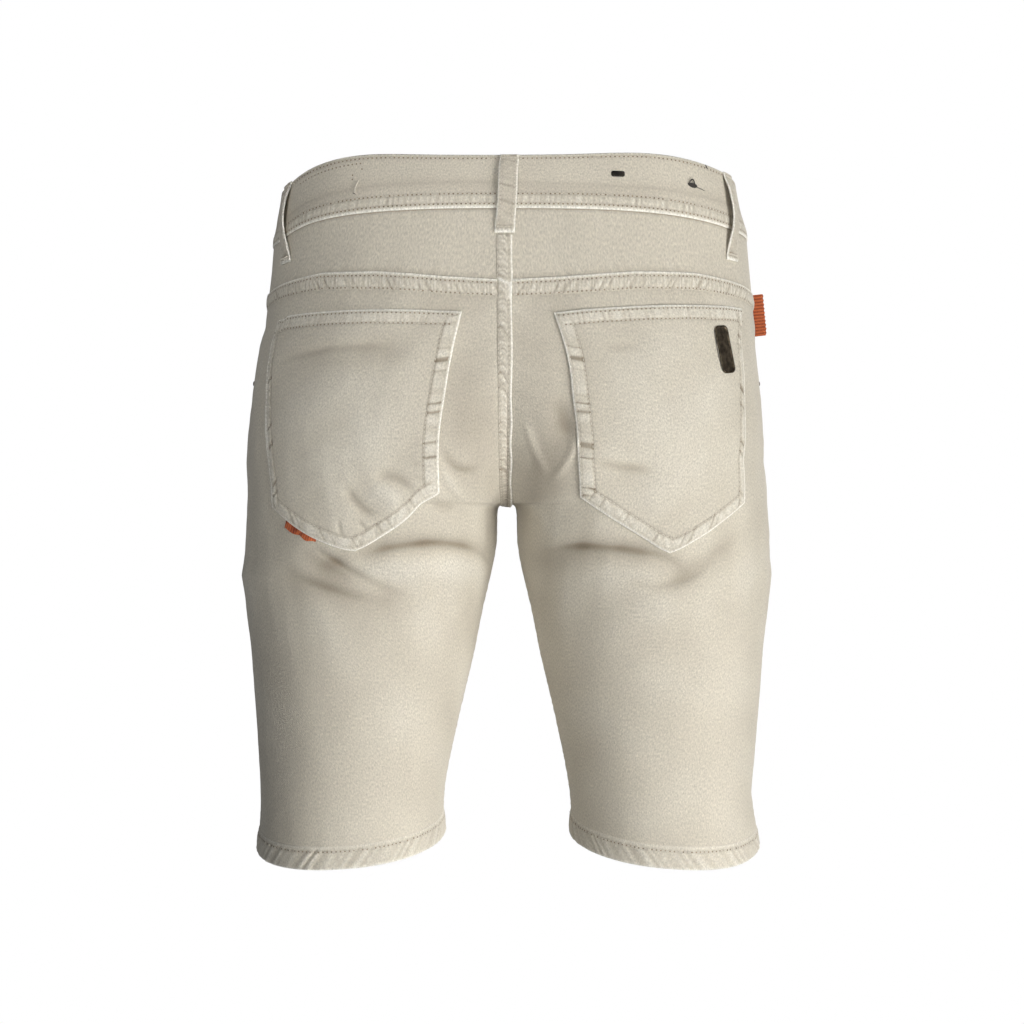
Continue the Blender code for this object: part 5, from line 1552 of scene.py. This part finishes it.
def bar_tack(name, loop, spots):
    """Two bar tacks of close stitches across a loop, one at each share down it."""
    shape, faces = stitch_shape(TACK_HEIGHT, 0.24)
    offsets = np.arange(-TACK_WIDTH / 2, TACK_WIDTH / 2, TACK_STEP)
    zigzag = np.where(np.arange(len(offsets)) % 2, 1, -1)[:, None]
    points, polygons = [], []
    for spot in spots:
        face, side, a, z, lift = loop_places(loop, spot + 0 * offsets, offsets)
        top = lift + loop_relief(loop, spot, offsets)[0] + 0.16
        centre, up = on_cloth(face, side, a, z, top)
        along = on_cloth(face, side, a, z - 1.0, top)[0] - centre
        along = unit(along + 0.22 * np.gradient(centre, axis=0) * zigzag)
        across = unit(np.cross(up, along))
        total = sum(len(block) for block in points)
        copies, sides = small_copies(shape, faces, centre, along, across, np.cross(along, across), total)
        points.append(copies)
        polygons += sides
    mesh = new_mesh(name, np.concatenate(points), polygons, sewing_thread)
    mesh.shade_smooth()
    return add_piece(mesh)


for row in LOOPS:
    loop = dict(zip(LOOP_COLUMNS, row))
    share = marks(LOOP_LENGTH, 0.8)[:, None] / LOOP_LENGTH
    across = marks(LOOP_WIDTH, 0.7) - LOOP_WIDTH / 2
    face, side, a, z, lift = loop_places(loop, share, across)
    rise, wear_and_shade = loop_relief(loop, share, across)
    outer = place(face, side, a, z, lift + rise)
    inner = place(face, side, a, z, lift + 0.15 * edge_drop(LOOP_WIDTH / 2 - np.abs(across), 1.1, 0.7))
    pattern = (across, -LOOP_LENGTH * share)
    strip = cloth_piece("loop_" + loop["word"], outer, inner, pattern, wear_and_shade, panel_denim)
    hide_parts("belt_loop_" + loop["word"])
    rows = []
    down = np.linspace(0.03, 0.97, 200)
    for offset in (-1, 1):
        c = offset * (LOOP_WIDTH / 2 - LOOP_ROW) + 0 * down
        face, side, a, z, lift = loop_places(loop, down, c)
        rows.append((face, side, a, z, lift + loop_relief(loop, down, c)[0]))
    thread = sew("thread_loop_" + loop["word"], rows, spacing=2.9, shown=(True, False))
    tacks = bar_tack("tacks_loop_" + loop["word"], loop, (0.045, 0.947))

# ---------------------------------------------------------------------------------------------
# Fly: a lap of denim over the zip, its free edge just past the middle of the front. A curved double
# row of stitches holds it, and the lap's own edge has one more row.
# ---------------------------------------------------------------------------------------------
FLY_REACH, FLY_LAP, FLY_LOW = 32.0, 8.0, -166.0
FLY_TOP = BAND_LOW + TUCK
FLY_DOWN = 120.0            # its height, by which its points are spaced
FLY_ROWS = (2.0, 8.2)       # from its curved side to the double row
FLY_FREE_ROW = 2.2          # from its free edge to the row there


def fly_edge(down):
    """How far from the middle the curved side of the fly is, at a share of the way down."""
    return FLY_REACH * np.sqrt(np.clip(1 - np.clip((down - 0.72) / 0.29, 0, 1) ** 2, 0, 1))


def fly_free(down):
    """How far past the middle the free edge of the fly is, at a share of the way down."""
    return FLY_LAP * (1 - 0.6 * down**2)


def fly_relief(down, c):
    """Lift and wear of the fly: free edge faded and rolled, painted shade in the dips along the rows,
    slanting puckers.
    """
    free = c + fly_free(down)
    curve = fly_edge(down)
    s = down * (FLY_TOP - FLY_LOW)
    rows = sum(bell(curve - inset - c, 0.8) for inset in FLY_ROWS)
    rows = rows + bell(free - FLY_FREE_ROW, 0.8)
    puckers = pinches(s + 0.6 * c, 8.0, 201)
    band = bell(curve - 5.0 - c, 4.0)
    lift = 1.5 + 0.25 * puckers * band + 0.12 * pinches(s - c, 11.0, 202) - 0.18 * rows
    lift = lift - edge_drop(free, 1.3, 0.8) - edge_drop(curve - c, 1.2, 0.7)
    wear_and_shade = 0.7 * bell(free, 0.9) + 0.25 * bell(curve - c, 1.0)
    return lift, wear_and_shade - 0.35 * rows + 0.18 * puckers * band


down = marks(FLY_DOWN, 1.3)[:, None] / FLY_DOWN * 0.995
across = marks(FLY_REACH + FLY_LAP, 1.2) / (FLY_REACH + FLY_LAP)
c = -fly_free(down) * (1 - across) + fly_edge(down) * across
z = FLY_TOP * (1 - down) + FLY_LOW * down + 0 * c
side, a = from_middle(1, c, z)
lift, wear_and_shade = fly_relief(down, c)
outer, inner = (place(1, side, a, z, value) for value in (lift, 0.15 + 0 * lift))
fly = cloth_piece("cloth_fly", outer, inner, (c + 2000, z), wear_and_shade, panel_denim)
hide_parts("fly")
rows = []
down = np.linspace(0.012, 0.985, 400)
z_row = FLY_TOP * (1 - down) + FLY_LOW * down
for c in (fly_edge(down) - FLY_ROWS[0], fly_edge(down) - FLY_ROWS[1], FLY_FREE_ROW - fly_free(down)):
    keep = c > 1.0 - fly_free(down)
    side, a = from_middle(1, c[keep], z_row[keep])
    rows.append((1, side, a, z_row[keep], fly_relief(down[keep], c[keep])[0]))
thread = sew("thread_fly", rows)

# ---------------------------------------------------------------------------------------------
# Ribbon tabs: short pieces of rust ribbon with fine ribs. One is folded double and caught in the right
# side seam below the yoke. The other peeps out from under the left pocket's lower edge.
# ---------------------------------------------------------------------------------------------
RUST = (0.50, 0.105, 0.03)
TAB_HIGH, TAB_LOW, TAB_REACH = -78.5, -109.0, 9.4
TAB_RIBS, PEEP_RIBS = 2.3, 1.9      # from rib to rib on the side tab and on the pocket's one
PEEP_LONG, PEEP_DEEP = 28.0, 9.0    # the pocket's one along the edge and across it


def ribbon_finish():
    """Matt rust ribbon: painted shade between its ribs and lighter crests, paler where it is rubbed, with a
    fibre grain.
    """
    finish, nodes, links, shader = blank_finish("rust ribbon", {
        "Roughness": 0.8, "Specular IOR Level": 0.25, "Sheen Weight": 0.25})
    wear_shade_node = nodes.new("ShaderNodeAttribute")
    wear_shade_node.attribute_name = "wear_and_shade"
    fibre = fine_noise(nodes, links, 900.0, 3.0)
    mix = nodes.new("ShaderNodeMath")
    mix.operation = "MULTIPLY_ADD"
    mix.inputs[1].default_value = 0.5
    links.new(fibre, mix.inputs[0])
    links.new(wear_shade_node.outputs["Fac"], mix.inputs[2])
    groove = (0.30 * RUST[0], 0.22 * RUST[1], 0.30 * RUST[2])
    crest = (1.25 * RUST[0], 1.5 * RUST[1], 1.8 * RUST[2])
    coloured(nodes, links, shader, mix.outputs[0], (0.10, groove), (0.85, crest))
    bumpy(nodes, links, shader, fibre, 0.5, 0.0002)
    return finish


rust_ribbon = ribbon_finish()


def ribs(s, period):
    """Low round ribs across a ribbon, from 0 in the grooves to 1 on the crests."""
    return 0.5 + 0.5 * np.cos(2 * np.pi * s / period)


z = (TAB_LOW + marks(TAB_HIGH - TAB_LOW, 0.3, (0.0, 0.15)))[::-1][:, None]
reach = marks(TAB_REACH - 0.3, 0.8, (0.0, 0.2)) + 0.3
frayed = 0.25 * np.sin(2.1 * z) * bell(reach - TAB_REACH, 1.5)
line = place(0, -1, 0.0 * z * reach, z + 0 * reach, reach + frayed)
bow = 0.5 * np.sin((z - TAB_HIGH) / 8) * reach / TAB_REACH - 0.5 * (reach / TAB_REACH) ** 2
half = 0.45 + 0.30 * ribs(z, TAB_RIBS) - 0.3 * edge_drop(TAB_REACH - reach, 0.6, 1.0)
outer, inner = line.copy(), line.copy()
outer[..., 1] += bow + half
inner[..., 1] += bow - half
# Painted shade: darker in the grooves between the ribs and beside the seam that catches the tab.
wear_and_shade = 0.05 + 0.42 * ribs(z, TAB_RIBS) - 0.2 * bell(reach - 0.3, 1.2)
side_tab = cloth_piece("ribbon_side_tab", outer, inner, (reach, z), wear_and_shade, rust_ribbon)

along = marks(PEEP_LONG, 0.3, (0.0, 0.15))[:, None] / PEEP_LONG
out = marks(PEEP_DEEP, 0.45, (0.0, 0.15)) / PEEP_DEEP
a = 101.0 + 25.0 * along - 2.5 * out
edge_z = PocketShape("left").low(a)
shown = np.maximum(out - 0.32, 0) / 0.68
z = edge_z + 3.2 - 3.2 * out - (6.4 - 3.6 * along) * shown + 0.6 * np.sin(15 * along) * shown
ribbed = ribs(PEEP_LONG * along, PEEP_RIBS)
lift = 0.1 + 0.9 * shown * (1 + np.sin(11 * along)) + 0.30 * ribbed * shown
outer, inner = place(0, 1, a, z, lift + 0.7), place(0, 1, a, z, lift)
# Painted shade: darker in the grooves between the ribs and where the tab goes under the pocket's edge.
wear_and_shade = -0.10 + 0.40 * ribbed + 0.25 * shown - 0.30 * bell(shown, 0.2)
wear_and_shade = wear_and_shade + 0.28 * pinches(PEEP_LONG * along + 6 * out, 7.0, 205)
pattern = (PEEP_LONG * along, PEEP_DEEP * out)
pocket_tab = cloth_piece("ribbon_pocket_tab", outer, inner, pattern, wear_and_shade, rust_ribbon)
for tab, node, flat, share, under in (
    (side_tab, "side_tab", (0.010, 0.031), 1.0, "cloth_back_right"),
    (pocket_tab, "pocket_tab", (0.029, 0.010), 0.7, "cloth_back_left"),
):
    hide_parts(node)

# ---------------------------------------------------------------------------------------------
# Metal pieces of dull dark bronze: the tack button on the waistband's lapped end, four rivets at the
# ends of the front pockets' mouths, a plain plate with rounded corners on the right back pocket and a
# small blackened bar let into the waistband. Button and rivets are pressed from sheet; the plate and
# the bar are cast and fixed from behind.
# ---------------------------------------------------------------------------------------------
BRONZE, BRONZE_RUBBED = (0.060, 0.047, 0.034), (0.22, 0.175, 0.12)
# Radius and height round the button and a rivet, from the foot outwards, over the rim and inwards.
BUTTON_PROFILE = (
    (4.5, 0.0), (4.5, 1.4), (7.6, 1.4), (8.2, 1.6), (8.5, 2.1), (8.5, 2.7), (8.3, 3.15), (7.9, 3.4),
    (7.4, 3.42), (6.9, 3.25), (6.4, 2.95), (5.9, 2.8), (5.0, 2.75), (3.8, 2.8), (3.4, 2.95), (2.8, 3.1),
    (1.6, 3.25), (0.6, 3.3),
)
RIVET_PROFILE = (
    (4.4, 0.0), (4.4, 0.5), (4.3, 0.75), (4.0, 0.92), (3.4, 1.0), (2.6, 0.98), (2.2, 1.05), (1.95, 1.35),
    (1.6, 1.75), (1.1, 2.0), (0.5, 2.1),
)
# Word, distance from the side seam and level.
RIVET_SPOTS = (("upper", 71.0, -52.5), ("lower", 8.0, -144.0))
BADGE_SIZE, BADGE_CORNER, BADGE_WALL = (14.0, 35.0), 4.0, 1.2
BADGE_SPOT = (96.5, -124.0, 2.8)    # its distance from the side seam, level and lift, on the pocket
BADGE_TURN = 6.0            # degrees
BAR_SIZE, BAR_CORNER = (10.0, 4.2), 1.6
BAR_SPOT = (158.2, -16.6, BAND_OUT + 0.05)
# Inset and height of each ring of the plate and of the bar, from the underside over the bevel and rim
# to the field.
BADGE_RINGS = (
    (0.3, 0.0), (0.0, 0.3), (0.0, 0.85), (0.15, 1.08), (0.45, BADGE_WALL), (1.0, BADGE_WALL), (1.35, 1.05),
    (1.6, 0.85), (2.2, 0.8),
)
BAR_RINGS = ((0.0, 0.0), (0.0, 0.35), (0.2, 0.6), (0.6, 0.75), (1.2, 0.8))


def bronze_finish(name, dark, rubbed):
    """Dull dark bronze: cloudy patina, paler where it is rubbed, and a fine uneven surface."""
    finish, nodes, links, shader = blank_finish(name, {"Metallic": 0.9, "Roughness": 0.46})
    cloud = fine_noise(nodes, links, 260.0, 5.0)
    coloured(nodes, links, shader, cloud, (0.38, dark), (0.75, rubbed))
    rough = nodes.new("ShaderNodeMapRange")
    rough.inputs["To Min"].default_value = 0.58
    rough.inputs["To Max"].default_value = 0.34
    links.new(cloud, rough.inputs["Value"])
    links.new(rough.outputs["Result"], shader.inputs["Roughness"])
    bumpy(nodes, links, shader, cloud, 0.35, 0.00015)
    return finish


dark_bronze = bronze_finish("dark bronze", BRONZE, BRONZE_RUBBED)
black_bronze = bronze_finish("blackened bronze", (0.022, 0.020, 0.018), (0.07, 0.06, 0.05))


def facing_frame(face, side, a, z, lift):
    """Matrix of a frame on the cloth: its Z points out of the cloth and its Y up, in metres."""
    point, normal = on_cloth([face], [side], [a], [z], [lift])
    out = Vector(normal[0])
    right = Vector((0, 0, 1)).cross(out).normalized()
    frame_on = Matrix((right, out.cross(right), out)).transposed().to_4x4()
    frame_on.translation = Vector(point[0] * MM)
    return frame_on


def metal_piece(name, node, rings, frame_on):
    """A metal piece of rings one on the other, closed at both ends, in its own frame."""
    index = np.arange(rings.shape[0] * rings.shape[1]).reshape(rings.shape[:2])
    faces = quads(index, True)[:, ::-1].tolist() + [index[0, ::-1].tolist(), index[-1].tolist()]
    mesh = bpy.data.meshes.new(name)
    mesh.from_pydata([frame_on @ (Vector(point) * MM) for point in rings.reshape(-1, 3)], [], faces)
    mesh.shade_smooth()
    mesh.set_sharp_from_angle(angle=0.7)
    mesh.materials.append(dark_bronze if node else black_bronze)
    piece = add_piece(mesh)
    if node:
        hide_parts(node)


def turned(name, node, profile, frame_on, steps):
    """A turned piece: a profile of radius and height spun about the frame's Z."""
    turn = np.arange(steps) * 2 * np.pi / steps
    radius, height = np.array(profile).T[:, :, None]
    rings = np.stack([radius * np.cos(turn), radius * np.sin(turn), height + 0 * turn], axis=2)
    metal_piece(name, node, rings, frame_on)


def rounded(width_of, height_of, corner, steps=9):
    """Outline of a rectangle with rounded corners: a quarter circle of a few steps at each."""
    turn = np.radians(np.linspace(0, 90, steps))
    outline = []
    for start, sx, sy in ((0, 1, 1), (90, -1, 1), (180, -1, -1), (270, 1, -1)):
        angle = turn + np.radians(start)
        outline.append(np.stack([sx * (width_of / 2 - corner) + corner * np.cos(angle),
                                 sy * (height_of / 2 - corner) + corner * np.sin(angle)], axis=1))
    return np.concatenate(outline)


button_frame = facing_frame(1, 1, float(width(1, BAND_LOW / 2)), BAND_LOW / 2, BAND_OUT + 0.3)
turned("button", "waist_button", BUTTON_PROFILE, button_frame, 48)
for word, side in HALVES:
    for place_word, a, z in RIVET_SPOTS:
        name = "rivet_" + place_word + "_" + word
        turned("bronze_" + name, name, RIVET_PROFILE, facing_frame(1, side, a, z, 0.45), 36)

badge_frame = facing_frame(0, -1, *BADGE_SPOT) @ Matrix.Rotation(np.radians(BADGE_TURN), 4, "Z")
for name, node, size, corner, insets, frame_on in (
    ("badge_plate", "badge", BADGE_SIZE, BADGE_CORNER, BADGE_RINGS, badge_frame),
    ("bronze_bar", None, BAR_SIZE, BAR_CORNER, BAR_RINGS, facing_frame(0, -1, *BAR_SPOT)),
):
    rings = []
    for inset, height in insets:
        outline = rounded(size[0] - 2 * inset, size[1] - 2 * inset, corner - 0.8 * inset)
        rings.append([(x, y, height) for x, y in outline])
    metal_piece(name, node, np.array(rings), frame_on)

# ---------------------------------------------------------------------------------------------
# Studio: a white sweep all round and a pale round floor below the shorts. Behind them, where the
# picture is taken, a broad soft light stands low at the viewer's right, a weak one above, and two
# narrow ones shine on the waistband and on the legs. One more broad light is on the front's side.
# ---------------------------------------------------------------------------------------------
SIGHT = Vector((-0.00375, 2.2, -0.2406))    # where the picture is taken from
FLOOR_Z = -0.95
FLOOR_RADIUS = 1.6
FLOOR_SIDES = 96
DAYLIGHT = (1.0, 0.985, 0.955)


def pale_floor():
    """A flat disc: rings of points at even angles, its radius growing from the middle outwards."""
    turn = np.linspace(0, 2 * np.pi, FLOOR_SIDES + 1)[:-1]
    radius = np.linspace(0.02, 1.0, 12)[:, None] ** 1.3 * FLOOR_RADIUS
    points = np.stack([radius * np.cos(turn), radius * np.sin(turn), FLOOR_Z + 0 * radius * turn], axis=2)
    index = np.arange(points.shape[0] * FLOOR_SIDES).reshape(-1, FLOOR_SIDES)
    mesh = bpy.data.meshes.new("floor")
    mesh.from_pydata(points.reshape(-1, 3).tolist(), [], quads(index, True).tolist() + [index[0].tolist()])
    pale = {"Base Color": (0.9, 0.9, 0.9, 1.0), "Roughness": 0.9}
    mesh.materials.append(blank_finish("pale floor", pale)[0])
    floor = bpy.data.objects.new("floor", mesh)
    bpy.context.scene.collection.objects.link(floor)
    return floor


def soft_light(name, spot, aim, size, power, colour, beam=180.0):
    """A square area light at a spot, turned so that it shines at its aim, with a beam in degrees."""
    lamp = bpy.data.lights.new(name, "AREA")
    lamp.shape = "SQUARE"
    lamp.size = size
    lamp.energy = power
    lamp.color = colour
    lamp.spread = np.radians(beam)
    light = bpy.data.objects.new(name, lamp)
    light.location = spot
    light.rotation_euler = (Vector(aim) - Vector(spot)).to_track_quat("-Z", "Y").to_euler()
    bpy.context.scene.collection.objects.link(light)


pale_floor()
soft_light("key", (-2.0, 1.65, -1.0), (0.0, 0.0, -0.3), 1.3, 70.0, DAYLIGHT)
soft_light("fill", (0.3, 2.7, 0.5), (0.0, 0.0, -0.3), 1.6, 8.0, (0.97, 0.985, 1.0))
soft_light("waist", (0.5, 1.5, 0.25), (0.11, 0.1, -0.01), 0.5, 0.27, (1.0, 0.99, 0.97), 22.0)
soft_light("legs", (-0.9, 2.0, -0.62), (-0.02, 0.1, -0.62), 0.5, 0.55, DAYLIGHT, 26.0)
soft_light("front", (-0.9, -2.3, 0.9), (0.0, 0.0, -0.25), 1.8, 52.0, (1.0, 0.99, 0.97))

world = bpy.data.worlds.new("white sweep")
world.use_nodes = True
sky, links = world.node_tree.nodes, world.node_tree.links
ambient = sky["Background"]
ambient.inputs["Color"].default_value = (0.93, 0.96, 1.0, 1.0)
ambient.inputs["Strength"].default_value = 0.105
sweep = sky.new("ShaderNodeBackground")
sweep.inputs["Color"].default_value = (1.0, 1.0, 1.0, 1.0)
sweep.inputs["Strength"].default_value = 1.0
path = sky.new("ShaderNodeLightPath")
either = sky.new("ShaderNodeMixShader")
links.new(path.outputs["Is Camera Ray"], either.inputs["Fac"])
links.new(ambient.outputs["Background"], either.inputs[1])
links.new(sweep.outputs["Background"], either.inputs[2])
links.new(either.outputs["Shader"], sky["World Output"].inputs["Surface"])
bpy.context.scene.world = world
bpy.context.scene.view_settings.view_transform = "Standard"

lens = bpy.data.cameras.new("camera")
lens.sensor_width = 36.0
lens.lens = 103.125
camera = bpy.data.objects.new("camera", lens)
camera.location = SIGHT
camera.rotation_euler = (np.pi / 2, 0.0, np.pi)
bpy.context.scene.collection.objects.link(camera)
bpy.context.scene.camera = camera
